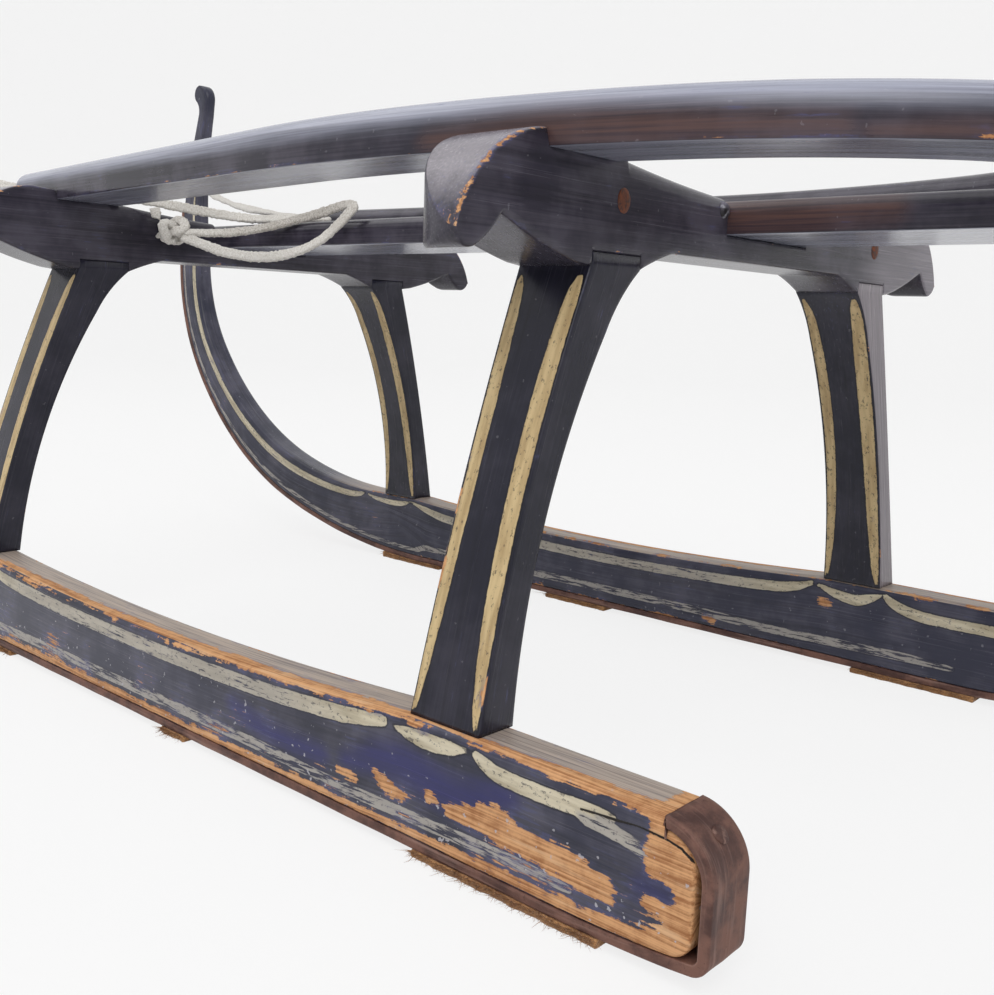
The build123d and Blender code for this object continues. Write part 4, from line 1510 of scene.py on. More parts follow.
@dataclass
class Beam:
    """Scroll-ended cross beam, housed for the posts below and the seat above."""

    centre_x: float
    rail: Rail
    thickness: float = 38.0
    joint_z: float = 243.5
    end_y: float = 216.3
    bottom_rise: float = 3.0
    end_flat: float = 0.5
    post_inner: float = 105.5
    post_outer: float = 139.5
    housing: float = 5.5
    slat_half: float = 39.3
    slat_bottom: float = 258.0
    ledge_z: float = 274.5
    dip_sag: float = 0.75
    shoulder: Pair = (118.5, 281.8)
    ear: Pair = (8.5, 1.0)
    hollow: Point = (25.0, 11.0, -1.2)
    tip_reach: float = 12.0
    scroll_crown: Pair = (47.8, 42.8)
    scroll_brow: Pair = (17.8, 31.0)
    scroll_tip: Pair = (0.0, 3.5)
    scroll_chin: Pair = (4.3, -2.5)
    scroll_lip: Pair = (12.8, -1.2)
    scroll_roof: Pair = (19.1, 4.0)
    scroll_hollow: Pair = (23.8, 9.9)
    scroll_throat: Pair = (44.3, 2.1)
    wear_start: float = 164.0

    def scroll(self, place: Pair) -> Array:
        """Point of the left scroll: its inset from the end and its height over the joint."""
        inset, height = place
        return np.array([self.end_y - inset, self.joint_z + height])

    def upper(self) -> Array:
        """Top of the left half in Y and Z: slat seat, dipped top, shoulder, crown and scroll's tip."""
        ledge = np.array([self.slat_half, self.ledge_z])
        shoulder = np.array(self.shoulder)
        middle = (ledge + shoulder) / 2 - (0, self.dip_sag)
        crown = self.scroll(self.scroll_crown)
        brow = self.scroll(self.scroll_brow)
        tip = self.scroll(self.scroll_tip)
        seat_floor = np.array([[0.0, self.slat_bottom], [self.slat_half - 0.05, self.slat_bottom]])
        return np.concatenate([seat_floor, arc_through(ledge, middle, shoulder), crown[None],
                               arc_through(crown, brow, tip, 90)[1:]])

    def lower(self) -> Array:
        """Underside of the left half in Y and Z: hollow, ears, throat, lip, chin and scroll's tip."""
        ear_z = self.joint_z - self.housing
        reach, middle_in, middle_up = self.hollow
        under = np.array([self.post_inner - reach, self.joint_z + self.bottom_rise])
        under_middle = np.array([self.post_inner - middle_in, self.joint_z + middle_up])
        inner_ear = np.array([self.post_inner, ear_z])
        ear = np.array([self.post_outer + self.ear[0], ear_z + self.ear[1]])
        hollow = self.scroll(self.scroll_hollow)
        lip = self.scroll(self.scroll_lip)
        tip = self.scroll(self.scroll_tip)
        house = np.array([[self.post_inner + 0.05, self.joint_z], [self.post_outer - 0.05, self.joint_z],
                          [self.post_outer, ear_z]])
        return np.concatenate([
            [[0.0, under[1]]], arc_through(under, under_middle, inner_ear), house, ear[None],
            arc_through(ear, self.scroll(self.scroll_throat), hollow)[1:],
            arc_through(hollow, self.scroll(self.scroll_roof), lip)[1:],
            arc_through(lip, self.scroll(self.scroll_chin), tip, 60)[1:]])

    def loft(self) -> Loft:
        """Whole beam: sections at places across the sled, with widths to X and heights to Z."""
        tip = self.end_y - self.tip_reach * (1 - np.sin(np.linspace(0, math.pi / 2, 26)))
        steps = np.array([self.slat_half, self.post_inner, self.post_outer])
        plain = np.arange(0.0, self.end_y - self.tip_reach - 0.5, 1.7)
        half_y = np.concatenate([plain, steps - 0.1, steps + 0.1, tip[:-1] - 0.03])
        half_y = np.unique(np.round(half_y, 2))
        half_y = half_y[np.concatenate([[True], np.diff(half_y) > 0.04])]
        stations = np.concatenate([-half_y[:0:-1], half_y])
        out = np.abs(stations)
        upper = self.upper()
        lower = self.lower()
        high = np.interp(out, upper[:, 0], upper[:, 1])
        low = np.minimum(np.interp(out, lower[:, 0], lower[:, 1]), high - 0.4)
        sweep = self.thickness - self.end_flat
        past = np.maximum(out - (self.end_y - sweep), 0)
        front = self.thickness / 2 - (sweep - half_chord(sweep, past))
        rear = np.full_like(front, -self.thickness / 2)
        half = np.maximum((front - rear) / 2, 0.5)
        middle = self.centre_x + (front + rear) / 2
        dip = (out > self.slat_half) & (out < self.shoulder[0])
        ease = np.where(dip, 6.0, 1.6)
        width, level, face = rounded_sections(half, low, high, ease, 2.0, Facets(18, 14, 4))
        x = middle[:, None] + width
        y = over_ring(stations, width)
        housed = self.housed(x, np.abs(y), level)
        place = np.stack([x, y, housed], axis=-1)
        loft = loft_of(stations, width, housed, face, half, low, high, place)
        loft.grain = place[..., [1, 2, 0]]
        self.wear(loft, half)
        return loft

    def housed(self, x: Array, y: Array, z: Array) -> Array:
        """Heights with the rail's seat cut in: no higher than the rail's underside within its width."""
        path, outward = self.rail.centre_line()
        centre = np.interp(x, path[:, 0], path[:, 1])
        lean = np.interp(x, path[:, 0], outward[:, 1])
        inside = np.abs(y - centre) * lean < self.rail.width / 2 + 0.3
        return np.where(inside, np.minimum(z, self.rail.bottom - 0.02), z)

    def wear(self, loft: Loft, half: Array) -> None:
        """Orange wear on the rear arris of both scrolls, pale ends, a painted highlight on the scrolls' tops
        and painted haze of light on the rear beam's right end.
        """
        out = np.abs(loft.along)
        rear_gap = loft.across + half[:, None]
        crest = loft.on(Face.TOP) | (loft.on(Face.INNER) & (loft.below < 3))
        reach = np.interp(out, (self.wear_start, 176, 196, 214), (-0.4, 0.1, 0.7, 1.2))
        down = np.where(loft.on(Face.INNER), loft.below, 0)
        loft.add("bare", reach - rear_gap - down, crest & (out > self.wear_start))
        loft.add("bare", np.interp(out, (206, 215), (-8.0, -0.6)), loft.on(Face.TOP) & (loft.along > 0))
        # Painted highlight: the tops of both scrolls are painted paler.
        loft.add("tint", np.interp(out, (150, 170, 205, 214), (-6.0, 4.0, 5.0, -4.0)), loft.on(Face.TOP))
        # Painted haze of light: the rear beam's rear face is painted paler towards its right end.
        if self.centre_x < 0:
            loft.add("tint", np.interp(loft.along, (-150, -95), (6.0, -6.0)), loft.on(Face.INNER))


@dataclass
class Slat:
    """Flat centre slat with rounded top edges and rounded front corners."""

    rear_x: float = -477.5
    front_x: float = 181.3
    bottom: float = 258.0
    thickness: float = 15.5
    width: float = 78.0
    edge_round: float = 6.0
    end_round: float = 16.0
    arris: float = 1.2
    edge_kept: float = 2.0

    def loft(self) -> Loft:
        """Slat: sections along X, with widths to Y."""
        body = np.arange(self.rear_x, self.front_x - self.end_round, 3.0)
        nose = rounded_end(self.front_x, self.end_round)
        stations, inset = end_eased(np.concatenate([body, nose]), self.arris, False)
        past = np.maximum(self.end_round - (self.front_x - stations), 0)
        half = self.width / 2 - self.end_round + half_chord(self.end_round, past) - inset
        low = self.bottom + inset
        high = self.bottom + self.thickness - inset
        width, level, face = rounded_sections(half, low, high, self.edge_round, self.arris, Facets(7, 20, 5))
        place = np.stack([over_ring(stations, width), width, level], axis=-1)
        loft = loft_of(stations, width, level, face, half, low, high, place)
        loft.top_edge = loft.top_edge + self.edge_kept
        loft.brush("rub_and_highlight", SLAT_WEAR, loft.along, loft.below, loft.on(Face.OUTER, Face.TOP))
        # Painted reflection of the bright floor: the underside is painted pale.
        loft.add("tint", 1.0, loft.on(Face.BOTTOM))
        return loft


SLAT_WEAR = (Stroke(((-380, 6.0, 4.0), (-320, 7.0, 7.0), (-270, 6.0, 5.0))),)


@dataclass
class Packing:
    """Thin block under the rails' joined nose."""

    ends: Pair = (-477.5, -447.5)
    half: float = 33.0
    low: float = 273.5
    high: float = 279.3

    def loft(self) -> Loft:
        """Block: sections along X with rounded ends."""
        stations, inset = end_eased(np.linspace(*self.ends, 12), 1.0)
        half = self.half - inset
        low = self.low + inset
        high = self.high - inset
        width, level, face = rounded_sections(half, low, high, 0.9, 0.9, Facets(4, 18, 3))
        place = np.stack([over_ring(stations, width), width, level], axis=-1)
        return loft_of(stations, width, level, face, half, low, high, place)


# Felt


@dataclass
class FeltPad:
    """Strip of felt between the floor and the iron, with fibres that stand out at its edges."""

    name: str
    hand: Hand
    ends: Pair
    height: float = 3.5
    half: float = 12.5
    middle_y: float = 187.0
    fibres: int = 3000
    step: float = 1.6
    gap: float = 0.02
    arris: float = 1.1
    heel: Pair = (-348.3, 504.5)
    front: Pair = (107.1, 604.5)

    def iron_z(self, x: Array) -> Array:
        """Underside of the iron over the strip: level, up at the heel and up on the first front bend."""
        behind = np.maximum(self.heel[0] - x, 0)
        ahead = np.maximum(x - self.front[0], 0)
        return self.height + behind**2 / (2 * self.heel[1]) + ahead**2 / (2 * self.front[1])

    def build(self, material: Material) -> Piece:
        """Strip and its fibres in one mesh.

        Args:
            material: Felt's finish.

        Returns:
            The pad.
        """
        seed = np.random.default_rng(sum(map(ord, self.name)))
        rows = max(10, int((self.ends[1] - self.ends[0]) / self.step))
        stations, inset = end_eased(np.linspace(*self.ends, rows), 1.0)
        waves = 0.35 * np.sin(stations / 3.1) + 0.25 * np.sin(stations / 1.3 + 1)
        half = self.half - inset - 0.3 + waves
        low = self.gap + 0.6 * inset
        high = self.iron_z(stations) - 0.6 * inset - self.gap
        width, level, _ = rounded_sections(half, low, high, self.arris, self.arris, Facets(5, 12, 3))
        place = np.stack([over_ring(stations, width), self.hand * (self.middle_y + width), level], axis=-1)
        points, faces = tube(capped(place))
        hair, hair_faces = self.hairs(seed)
        faces += (hair_faces + len(points)).tolist()
        piece = new_object(self.name + "_strip", np.concatenate([points, hair]), faces)
        seat(piece, Slot.FELT, material, self.name)
        return piece

    def hairs(self, seed: np.random.Generator) -> tuple[Array, Array]:
        """Fibres along the strip's long edges.

        A fibre is a thin three-sided tube of four rings. It leaves the edge sideways and droops by
        the square of the way along it, and its width goes evenly to a point.

        Args:
            seed: Source of the fibres' places.

        Returns:
            Vertices (k, 3) and quads (q, 4).
        """
        count = int(self.fibres * (self.ends[1] - self.ends[0]) / 90)
        x = seed.uniform(self.ends[0] + 1, self.ends[1] - 1, count)
        edge = np.where(seed.random(count) < 0.72, 1.0, -1.0)
        start = seed.uniform(0.6, 0.9, count) * np.minimum(self.iron_z(x), 5.5)
        length = seed.gamma(2.0, 0.9, count).clip(0.5, 6.0)
        drift = seed.normal(0, 0.8, count) * length
        lift = seed.normal(0.05, 0.22, count) * length
        rings, sides = 4, 3
        share = np.linspace(0, 1, rings)
        path = np.stack([
            x[:, None] + drift[:, None] * share + 0.3 * np.sin(share * 5 + x[:, None]),
            self.hand * (self.middle_y + edge[:, None] * (self.half - 1.2 + length[:, None] * share)),
            np.maximum(start[:, None] + lift[:, None] * share - 0.12 * length[:, None] * share**2, 0.15),
        ], axis=-1)
        angle = np.arange(sides) * 2 * math.pi / sides
        spoke = np.stack([np.cos(angle), np.zeros(sides), np.sin(angle)], axis=1)
        thick = (seed.uniform(0.13, 0.24, count)[:, None] * (1 - 0.85 * share))[..., None, None]
        strands = path[:, :, None, :] + thick * spoke
        strands[..., 2] = np.maximum(strands[..., 2], 0.03)
        block = ring_faces(rings, sides)
        quads = (np.arange(count)[:, None, None] * rings * sides + block[None]).reshape(-1, 4)
        return strands.reshape(-1, 3), quads


PADS = (
    ("felt_rear_left", Hand.LEFT, (-365.5, -271.5)),
    ("felt_rear_right", Hand.RIGHT, (-366.5, -288.5)),
    ("felt_middle_left", Hand.LEFT, (-106.5, -85.5)),
    ("felt_middle_right", Hand.RIGHT, (-92.5, -34.5)),
    ("felt_front_left", Hand.LEFT, (85.5, 156.5)),
    ("felt_front_right", Hand.RIGHT, (85.5, 156.5)),
)


# Pull cord


PULL_ROUTE = (
    (0.4494, -0.1865, 0.3390), (0.4035, -0.1620, 0.3290), (0.3515, -0.1360, 0.3200),
    (0.2995, -0.1100, 0.3115), (0.2475, -0.0850, 0.3040), (0.1955, -0.0600, 0.2970),
    (0.1450, -0.0350, 0.2910), (0.0980, -0.0140, 0.2855), (0.0620, -0.0030, 0.2805),
    (0.0375, 0.0030, 0.2775), (0.0185, 0.0070, 0.2765), (0.0129, 0.0153, 0.2765),
    (0.0141, 0.0252, 0.2765), (0.0215, 0.0319, 0.2765), (0.0405, 0.0325, 0.2765),
    (0.0625, 0.0310, 0.2770), (0.0790, 0.0370, 0.2785), (0.0880, 0.0550, 0.2805),
    (0.0925, 0.0760, 0.2825), (0.0975, 0.0920, 0.2845), (0.1095, 0.0975, 0.2862),
    (0.1270, 0.0965, 0.2866), (0.1580, 0.0960, 0.2876), (0.1980, 0.1010, 0.2915),
    (0.2460, 0.1175, 0.2985), (0.2950, 0.1345, 0.3070), (0.3440, 0.1510, 0.3165),
    (0.3900, 0.1665, 0.3260), (0.4240, 0.1780, 0.3335), (0.4494, 0.1865, 0.3390),
)
LOOP_ROUTE = (
    (0.0778, 0.0792, 0.2622), (0.0615, 0.0740, 0.2565), (0.0385, 0.0690, 0.2510),
    (0.0135, 0.0650, 0.2490), (-0.0095, 0.0600, 0.2510), (-0.0275, 0.0540, 0.2575),
    (-0.0380, 0.0495, 0.2660), (-0.0445, 0.0445, 0.2745), (-0.0460, 0.0400, 0.2800),
    (-0.0400, 0.0375, 0.2825), (-0.0285, 0.0370, 0.2815), (-0.0125, 0.0365, 0.2783),
    (0.0095, 0.0365, 0.2756), (0.0305, 0.0455, 0.2698), (0.0505, 0.0600, 0.2655),
    (0.0665, 0.0705, 0.2648), (0.0776, 0.0772, 0.2652),
)
TAIL_ROUTE = ((0.0945, 0.0900, 0.2798), (0.0933, 0.0904, 0.2760), (0.0906, 0.0884, 0.2724))
PULL_SOIL = (0.1, 0.1, 0.1)
LOOP_SOIL = (0.0, 0.0, 0.05, 0.1, 0.9, 1.0, 0.8, 0.2)
TAIL_SOIL = (0.1, 0.3)
KNOT_SOIL = (0.15, 0.4, 0.1, 0.3, 0.15)
NOOSE_SOIL = (0.1, 0.2)


@dataclass
class Lace:
    """Flat suede lace on a smooth line.

    Attributes:
        width: Lace's width.
        thick: Lace's thickness.
        faces_to: Direction that its broad face turns to.
        step: Distance between sections.
        fray: Spread of the edges' noise.
    """

    width: float = 6.6
    thick: float = 2.6
    faces_to: Point = (-0.55, 0.62, 0.56)
    step: float = 1.1
    fray: float = 0.26

    @staticmethod
    def line(name: str, route: Knots) -> Array:
        """Points of the NURBS line whose control points are the route.

        Args:
            name: Name of the curve that is read.
            route: Control points in metres.

        Returns:
            Points (n, 3) in metres.
        """
        curve = bpy.data.curves.new(name, "CURVE")
        curve.dimensions = "3D"
        spline = curve.splines.new("NURBS")
        spline.points.add(len(route) - 1)
        spline.points.foreach_set("co", np.column_stack([np.array(route), np.ones(len(route))]).ravel())
        spline.order_u = 3
        spline.use_endpoint_u = True
        spline.resolution_u = 10
        holder = bpy.data.objects.new(name, curve)
        bpy.context.scene.collection.objects.link(holder)
        bpy.context.view_layer.update()
        mesh = bpy.data.meshes.new_from_object(holder)
        points = np.zeros(len(mesh.vertices) * 3)
        mesh.vertices.foreach_get("co", points)
        bpy.data.objects.remove(holder)
        bpy.data.curves.remove(curve)
        bpy.data.meshes.remove(mesh)
        return points.reshape(-1, 3)

    def ribbon(self, name: str, line: Array, soil: tuple[float, ...], seed: int, point_end: bool = False,
               closed: bool = False) -> Piece:
        """Lace carried along a line, with soft uneven edges.

        The broad face's normal is the wished direction with its part along the line taken off. The
        lace rolls about the line by a slow sine, and its edges waver by noise.

        Args:
            name: Piece's name.
            line: Points (n, 3) in mm.
            soil: How soiled the lace is, from 0 to 1, at even steps along the line.
            seed: Seed of the edges' noise.
            point_end: Whether the lace is cut to a point at its end.
            closed: Whether the line closes on itself.

        Returns:
            The piece.
        """
        length = travelled(line)[-1]
        share = np.linspace(0, 1, max(12, int(length / self.step)))
        centre = evenly(line, share)
        soiled = np.interp(share, np.linspace(0, 1, len(soil)), soil)
        heading = np.gradient(centre, axis=0)
        if closed:
            heading[0] = heading[-1] = centre[1] - centre[-2]
        heading = unit(heading)
        wish = np.array(self.faces_to)
        normal = unit(wish - (heading @ wish)[:, None] * heading)
        side = np.cross(heading, normal)
        roll = 0.0 if closed else 0.28 * np.sin(share * length / 34) + 0.12 * np.sin(share * length / 11 + 1)
        roll = np.broadcast_to(roll, share.shape)[:, None]
        turned = np.cos(roll) * normal + np.sin(roll) * side
        side = np.cos(roll) * side - np.sin(roll) * normal
        noise = np.random.default_rng(seed).normal(0, self.fray, (len(share), 2))
        taper = np.clip((1 - share) * 2.2, 0.12, 1) if point_end else np.ones_like(share)
        half = self.width / 2 * taper
        edge = self.thick / 2
        ease = self.thick * 0.42
        width, level, _ = rounded_sections(half, -edge, edge, ease, ease, Facets(2, 6, 3))
        frayed = np.where(width > 0, noise[:, :1], noise[:, 1:])
        width = width + np.where(np.abs(width) > 0.7 * half[:, None], frayed, 0)
        grid = centre[:, None, :] + side[:, None, :] * width[..., None]
        grid = grid + turned[:, None, :] * level[..., None]
        rows, ring = grid.shape[:2]
        if closed:
            points = grid[:-1].reshape(-1, 3)
            faces = (ring_faces(rows, ring) % len(points)).tolist()
            soil_at = np.repeat(soiled[:-1], ring)
        else:
            points, faces = tube(grid)
            soil_at = np.concatenate([np.repeat(soiled, ring), soiled[:1], soiled[-1:]])
        LOG.info("%s: %.1f mm long, %d sections", name, length, rows)
        return new_object(name, points, faces, {"soil": soil_at})


@dataclass
class PullCord:
    """Suede pull cord: the run from horn to horn, its knotted spare loop, the tail and both nooses."""

    finish: SuedeFinish
    knot_centre: Point = (86.5, 82.0, 265.5)
    knot_reach: float = 12.6
    knot_inset: float = 2.6
    noose_middle: Point = (469.0, 187.0, 339.0)
    noose_size: Pair = (31.0, 23.2)
    noose_round: float = 7.0
    pull_length: float = 0.993
    loop_length: float = 0.29

    def build(self) -> None:
        """Makes and seats every piece of the cord."""
        material = self.finish.build()
        lace = Lace()
        pull_line = lace.line("pull_line", PULL_ROUTE)
        loop_line = lace.line("loop_line", LOOP_ROUTE)
        tail_line = lace.line("tail_line", TAIL_ROUTE)
        for name, line in (("pull", pull_line), ("loop", loop_line)):
            LOG.info("%s line: %.4f m", name, travelled(line)[-1])
        pull = lace.ribbon("pull_lace", pull_line / MM, PULL_SOIL, 3)
        loop = lace.ribbon("spare_loop", loop_line / MM, LOOP_SOIL, 5)
        tail = lace.ribbon("lace_tail", tail_line / MM, TAIL_SOIL, 7, point_end=True)
        knot = self.knot()
        nodes = ("pull_cord", "cord_loop", "cord_tail", "cord_knot")
        for piece, node in zip((pull, loop, tail, knot), nodes):
            seat(piece, Slot.SUEDE, material, node)
        nooses = [seat(self.noose(hand), Slot.SUEDE, material, f"noose_{hand.word}") for hand in Hand]

    def knot(self) -> Piece:
        """Overhand knot: a tight lace's section on a trefoil.

        The trefoil's point at t is (sin t + 2 sin 2t, cos t - 2 cos 2t, -1.6 sin 3t), which is at most 3
        from its axis. It is scaled to the knot's reach less the inset, turned, and pressed a little flatter.

        Returns:
            The piece.
        """
        t = np.linspace(0, 2 * math.pi, 120)
        path = np.stack([np.sin(t) + 2 * np.sin(2 * t), np.cos(t) - 2 * np.cos(2 * t), -1.6 * np.sin(3 * t)],
                        axis=1)
        path *= (self.knot_reach - self.knot_inset) / 3.0
        turn = np.array([[0.62, -0.48, 0.62], [0.18, 0.86, 0.48], [-0.76, -0.18, 0.62]])
        basis, _ = np.linalg.qr(turn)
        line = path @ basis.T * np.array([1.0, 1.0, 0.9]) + np.array(self.knot_centre)
        tight = Lace(width=6.2, thick=2.8)
        return tight.ribbon("lace_knot", line, KNOT_SOIL, 11, closed=True)

    def noose(self, hand: Hand) -> Piece:
        """Turn of lace round a horn: a rounded rectangle in plan, on edge.

        Args:
            hand: Side of the sled.

        Returns:
            The piece.
        """
        length, width = self.noose_size
        a = np.linspace(0, math.pi / 2, 9)
        reach_x = length / 2 - self.noose_round
        reach_y = width / 2 - self.noose_round
        corners = []
        for turn, (sx, sy) in enumerate(((1, 1), (-1, 1), (-1, -1), (1, -1))):
            bend = self.noose_round * round_points(a + turn * math.pi / 2)
            corners.append(np.array([sx * reach_x, sy * reach_y]) + bend)
        ring = np.concatenate(corners)
        ring = np.concatenate([ring, ring[:1]])
        middle = np.array(self.noose_middle) * (1, hand, 1)
        line = np.column_stack([ring, 0.7 * np.sin(np.linspace(0, 2 * math.pi, len(ring)))]) + middle
        flat = Lace(faces_to=(0.02, 0.03, 1.0), width=2.0, thick=6.0)
        return flat.ribbon(f"horn_turn_{hand.word}", line, NOOSE_SOIL, 13 + hand, closed=True)


# Small fastenings


@dataclass(frozen=True)
class Turned:
    """Small round piece turned about an axis.

    Attributes:
        name: Piece's name.
        centre: Middle of its base.
        axis: Direction of its height.
        profile: Radius and height of each ring, from the rim to the crown.
        stretch: How much longer it is along its second direction.
    """

    name: str
    centre: Point
    axis: Point
    profile: Bends
    stretch: float = 1.0

    def build(self) -> Piece:
        """Rings of the profile about the axis, closed at both ends."""
        axis = unit(np.array(self.axis))
        first = unit(np.cross(axis, (0.0, 0.0, 1.0) if abs(axis[2]) < 0.9 else (1.0, 0.0, 0.0)))
        second = np.cross(axis, first) * self.stretch
        angle = np.linspace(0, 2 * math.pi, 28, endpoint=False)
        spoke = np.cos(angle)[:, None] * first + np.sin(angle)[:, None] * second
        rows = np.array(self.profile)
        grid = np.array(self.centre) + rows[:, None, :1] * spoke[None] + rows[:, None, 1:] * axis
        points, faces = tube(grid)
        return new_object(self.name, points, faces, {"grain": points - np.array(self.centre)})


PEG_PROFILE = ((4.2, -3.0), (4.2, 0.1), (3.9, 0.45), (2.4, 0.6), (0.8, 0.65))
NAIL_PROFILE = ((3.5, -2.0), (3.6, 0.2), (3.2, 1.0), (2.4, 1.5), (1.0, 1.75))
SCREW_PROFILE = ((3.4, -1.5), (3.4, 0.05), (3.1, 0.3), (1.5, 0.4), (0.5, 0.4))
REARWARDS = (-1.0, 0.0, 0.0)
PEGS = (("left", (120.3, 264.8)), ("right", (-122.5, 262.4)))
PEG_STRETCH = 1.2
NAIL_PLACE = (42.8, 268.4)
SCREW_PLACE = (-403.35, 186.0, 52.35)
SCREW_AXIS = (-0.7071, 0.0, 0.7071)


# Stage


LAMPS = (("key", (-1.4, 1.7, 2.3), 2.4, 36.0), ("fill", (1.2, 0.6, 2.4), 2.2, 14.0))
LAMP_AIM = np.array([-0.1, 0.0, 0.2])


def set_up(holder: Piece, axes: tuple[Array, Array, Array], place: Point) -> None:
    """Turns and places a lamp or a camera, and links it to the scene.

    Args:
        holder: Lamp or camera.
        axes: Its own X, Y and Z directions.
        place: Its place in metres.
    """
    turn = np.eye(4)
    turn[:3, :3] = np.stack(axes, axis=1)
    turn[:3, 3] = place
    holder.matrix_world = Matrix(turn.tolist())
    bpy.context.scene.collection.objects.link(holder)


@dataclass(frozen=True)
class Stage:
    """White floor and backdrop, soft light and the camera."""

    floor_tone: Colour = (0.86, 0.86, 0.86, 1.0)
    white: Colour = (1.0, 1.0, 1.0, 1.0)
    glow: float = 0.985
    glow_share: float = 0.82
    surround: float = 0.62
    floor_reach: float = 4.0
    floor_curve: float = 1.6
    wall: Pair = (3.0, 6.0)
    camera_place: Point = (-0.570938, 0.491456, 0.215538)
    right: Point = (-0.74351651, -0.66768903, 0.03707504)
    down: Point = (-0.13305704, 0.09337907, -0.98669964)
    forward: Point = (0.65534649, -0.73856056, -0.15826961)
    lens: float = 39.94

    def build(self) -> None:
        """Makes the floor, the world, the lamps and the camera."""
        self.floor()
        self.world()
        self.lamps()
        self.camera()

    def floor(self) -> None:
        """Level disc whose rim curves up into the backdrop, as rings about the sled."""
        flat, curve, ring = self.floor_reach, self.floor_curve, 64
        level = np.linspace(0.02, flat, 20)
        rise = np.linspace(0.1, math.pi / 2, 12)
        wall = np.full(len(self.wall), flat + curve)
        radius = np.concatenate([level, flat + curve * np.sin(rise), wall])
        height = np.concatenate([np.zeros_like(level), curve * (1 - np.cos(rise)), self.wall])
        spoke = round_points(np.linspace(0, 2 * math.pi, ring, endpoint=False))
        grid = np.concatenate([radius[:, None, None] * spoke[None],
                               np.broadcast_to(height[:, None, None], (len(radius), ring, 1))], axis=-1)
        faces = ring_faces(len(radius), ring).tolist() + [list(range(ring - 1, -1, -1))]
        mesh = bpy.data.meshes.new("floor")
        mesh.from_pydata(grid.reshape(-1, 3).tolist(), [], faces)
        mesh.polygons.foreach_set("use_smooth", np.ones(len(mesh.polygons), dtype=bool))
        mesh.flip_normals()
        floor = bpy.data.objects.new("floor", mesh)
        bpy.context.scene.collection.objects.link(floor)
        material, g, shader = plain_material("pale_floor")
        g.fill(shader, {"Base Color": self.floor_tone, "Roughness": 0.9})
        glow = g.node("ShaderNodeEmission")
        g.fill(glow, {"Color": self.white, "Strength": self.glow})
        mixed = g.node("ShaderNodeMixShader")
        g.feed(mixed.inputs["Fac"], g.times(g.seen(), self.glow_share))
        g.feed(mixed.inputs[1], shader.outputs["BSDF"])
        g.feed(mixed.inputs[2], glow.outputs["Emission"])
        output = next(node for node in material.node_tree.nodes if node.type == "OUTPUT_MATERIAL")
        g.feed(output.inputs["Surface"], mixed.outputs["Shader"])
        mesh.materials.append(material)

    def world(self) -> None:
        """White surround, a little dimmer for the light that it gives than where it is seen."""
        world = bpy.data.worlds.new("studio")
        bpy.context.scene.world = world
        world.use_nodes = True
        g = Graph(world.node_tree)
        back = g.node("ShaderNodeBackground")
        g.fill(back, {"Color": self.white, "Strength": g.ramp(g.seen(), 0.0, 1.0, self.surround, 1.0)})
        output = g.node("ShaderNodeOutputWorld")
        g.feed(output.inputs["Surface"], back.outputs["Background"])

    def lamps(self) -> None:
        """Two large soft lamps: one over the sled's near rear side, one from its front."""
        for name, place, size, power in LAMPS:
            lamp = bpy.data.lights.new(name, "AREA")
            lamp.shape = "DISK"
            lamp.size = size
            lamp.energy = power
            away = unit(np.array(place) - LAMP_AIM)
            across = unit(np.cross((0.0, 0.0, 1.0), away))
            set_up(bpy.data.objects.new(name, lamp), (across, np.cross(away, across), away), place)

    def camera(self) -> None:
        """Camera at the photograph's place, with its roll."""
        lens = bpy.data.cameras.new("camera")
        lens.sensor_fit = "HORIZONTAL"
        lens.sensor_width = 36.0
        lens.lens = self.lens
        lens.clip_start = 0.01
        holder = bpy.data.objects.new("camera", lens)
        axes = (np.array(self.right), -np.array(self.down), -np.array(self.forward))
        set_up(holder, axes, self.camera_place)
        bpy.context.scene.camera = holder


# Whole sled


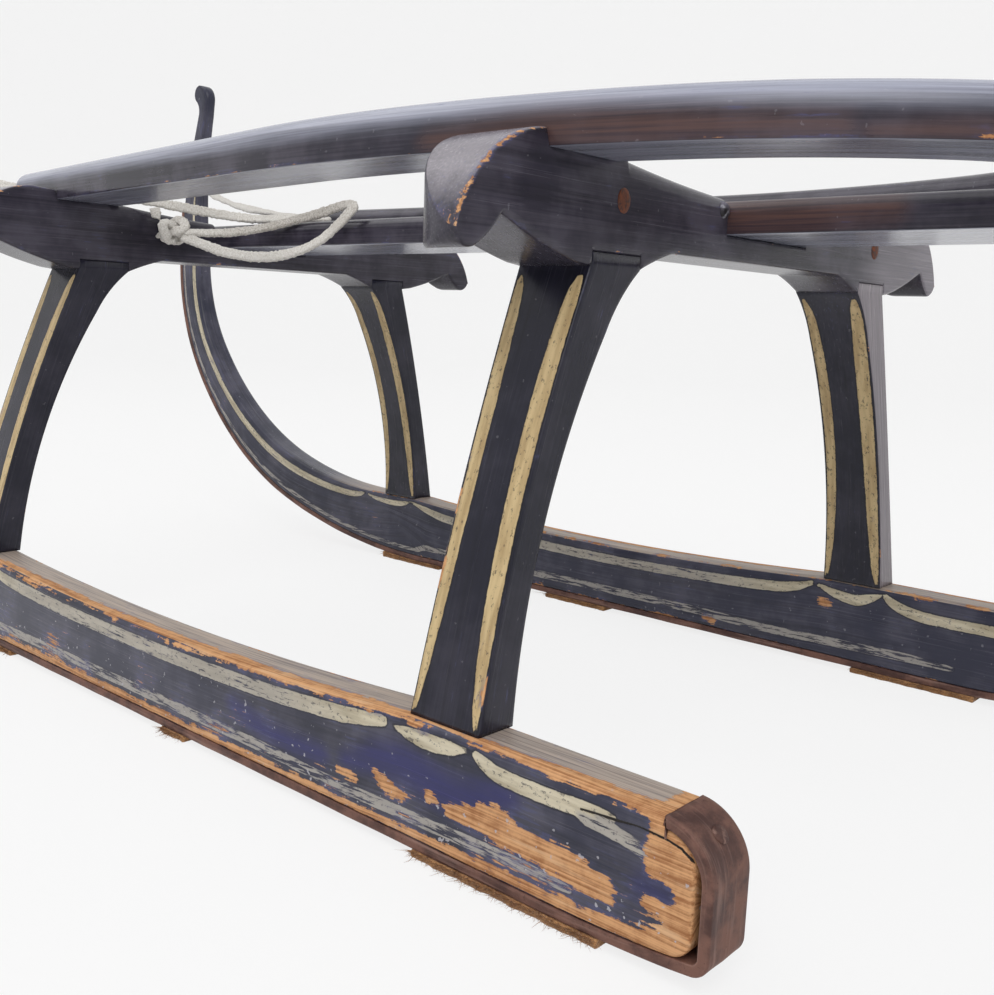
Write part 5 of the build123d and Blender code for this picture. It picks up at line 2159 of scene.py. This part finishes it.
@dataclass
class Sled:
    """All members of the sled and their finishes."""

    runner: Runner = field(default_factory=Runner)
    rail: Rail = field(default_factory=Rail)
    rear_x: float = -284.5
    front_foot_x: float = 136.5
    front_x: float = 119.1

    def build(self) -> None:
        """Builds and dresses every member in turn."""
        group = worn_paint_group()
        # The pale tint colours of the post, beam and seat paints are painted light: highlights, reflections
        # of the floor and haze. The runner's tint is an indigo tone, and its pale rubbed colour is a painted
        # highlight on its top over rubbed paint.
        runner_paint = PaintFinish("runner_paint", paint=colour(54, 55, 72), sheen=colour(100, 98, 112),
                                   rub_and_highlight=colour(188, 172, 158), edge_wear=1.6, flecks=1.0,
                                   stripe=colour(220, 210, 186),
                                   stripe_dark=colour(180, 168, 142)).build(group)
        post_paint = PaintFinish("post_paint", paint=colour(28, 28, 42), sheen=colour(60, 58, 70),
                                 edge_wear=-2.4, tint=colour(150, 142, 148)).build(group)
        beam_paint = PaintFinish("beam_paint", paint=colour(50, 47, 58), sheen=colour(92, 88, 100),
                                 edge_wear=-2.0, tint=colour(142, 136, 144)).build(group)
        seat_paint = PaintFinish("seat_paint", paint=colour(44, 41, 53), sheen=colour(92, 87, 99),
                                 edge_wear=-2.6, rough=0.2, tint=colour(174, 177, 194),
                                 rub_and_highlight=colour(96, 70, 64)).build(group)
        iron = IronFinish().build()
        felt = FeltFinish().build()
        self.pair("runner", self.runner.loft(), Slot.WOOD, runner_paint)
        self.pair("runner_iron", Iron(self.runner).loft(), Slot.IRON, iron)
        rear_post = Post(self.rear_x, self.rear_x).loft()
        # Painted haze of light: the right rear post's rear face is painted paler.
        light_painted_twin = rear_post.mirrored()
        light_painted_twin.add("tint", 5.0, light_painted_twin.on(Face.INNER))
        self.pair("post_rear", rear_post, Slot.WOOD, post_paint, light_painted_twin)
        self.pair("post_front", Post(self.front_foot_x, self.front_x).loft(), Slot.WOOD, post_paint)
        self.pair("side_rail", self.rail.loft(), Slot.WOOD, seat_paint)
        for node, place in (("beam_rear", self.rear_x), ("beam_front", self.front_x)):
            seat(member_object(node + "_wood", Beam(place, self.rail).loft()), Slot.WOOD, beam_paint, node)
        seat(member_object("centre_slat_wood", Slat().loft()), Slot.WOOD, seat_paint, "centre_slat")
        seat(member_object("tail_packing_wood", Packing().loft()), Slot.WOOD, seat_paint, "tail_packing")
        for name, hand, ends in PADS:
            FeltPad(name, hand, ends).build(felt)
        self.fastenings(iron)

    def pair(self, node: str, loft: Loft, slot: Slot, material: Material,
             twin: Loft | None = None) -> None:
        """Left member and its mirrored twin.

        Args:
            node: Node's name without its side.
            loft: Left member.
            slot: Record's material slot.
            material: Finish of both.
            twin: Right member, where its finish layers differ from the left one's mirror image.
        """
        for hand in Hand:
            shape = loft if hand is Hand.LEFT else twin or loft.mirrored()
            seat(member_object(f"{node}_{hand.word}_dressed", shape), slot, material, f"{node}_{hand.word}")

    def fastenings(self, iron: Material) -> None:
        """Pegs and the nail in the rear beam's rear face, and the screws in the heels.

        Args:
            iron: Finish of the screws.
        """
        peg_wood = PegFinish().build()
        face_x = self.rear_x - Beam.thickness / 2
        for side, place in PEGS:
            peg = Turned(f"beam_peg_{side}", (face_x, *place), REARWARDS, PEG_PROFILE, PEG_STRETCH).build()
            seat(peg, Slot.WOOD, peg_wood)
        nail = Turned("slat_nail", (face_x, *NAIL_PLACE), REARWARDS, NAIL_PROFILE).build()
        steel = IronFinish("nail_steel", colour(112, 108, 122), colour(26, 24, 28), colour(196, 196, 206))
        seat(nail, Slot.IRON, steel.build())
        for hand in Hand:
            x, y, z = SCREW_PLACE
            screw = Turned(f"heel_screw_{hand.word}", (x, hand * y, z), SCREW_AXIS, SCREW_PROFILE)
            seat(screw.build(), Slot.IRON, iron)


def main() -> None:
    """Loads the frame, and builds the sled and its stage."""
    logging.basicConfig(level=logging.INFO, format="%(name)s %(message)s")
    for item in list(bpy.data.objects):
        bpy.data.objects.remove(item)
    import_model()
    bpy.context.scene.view_settings.view_transform = "Standard"
    Stage().build()
    PullCord(SuedeFinish()).build()
    Sled().build()


if __name__ == "__main__":
    main()
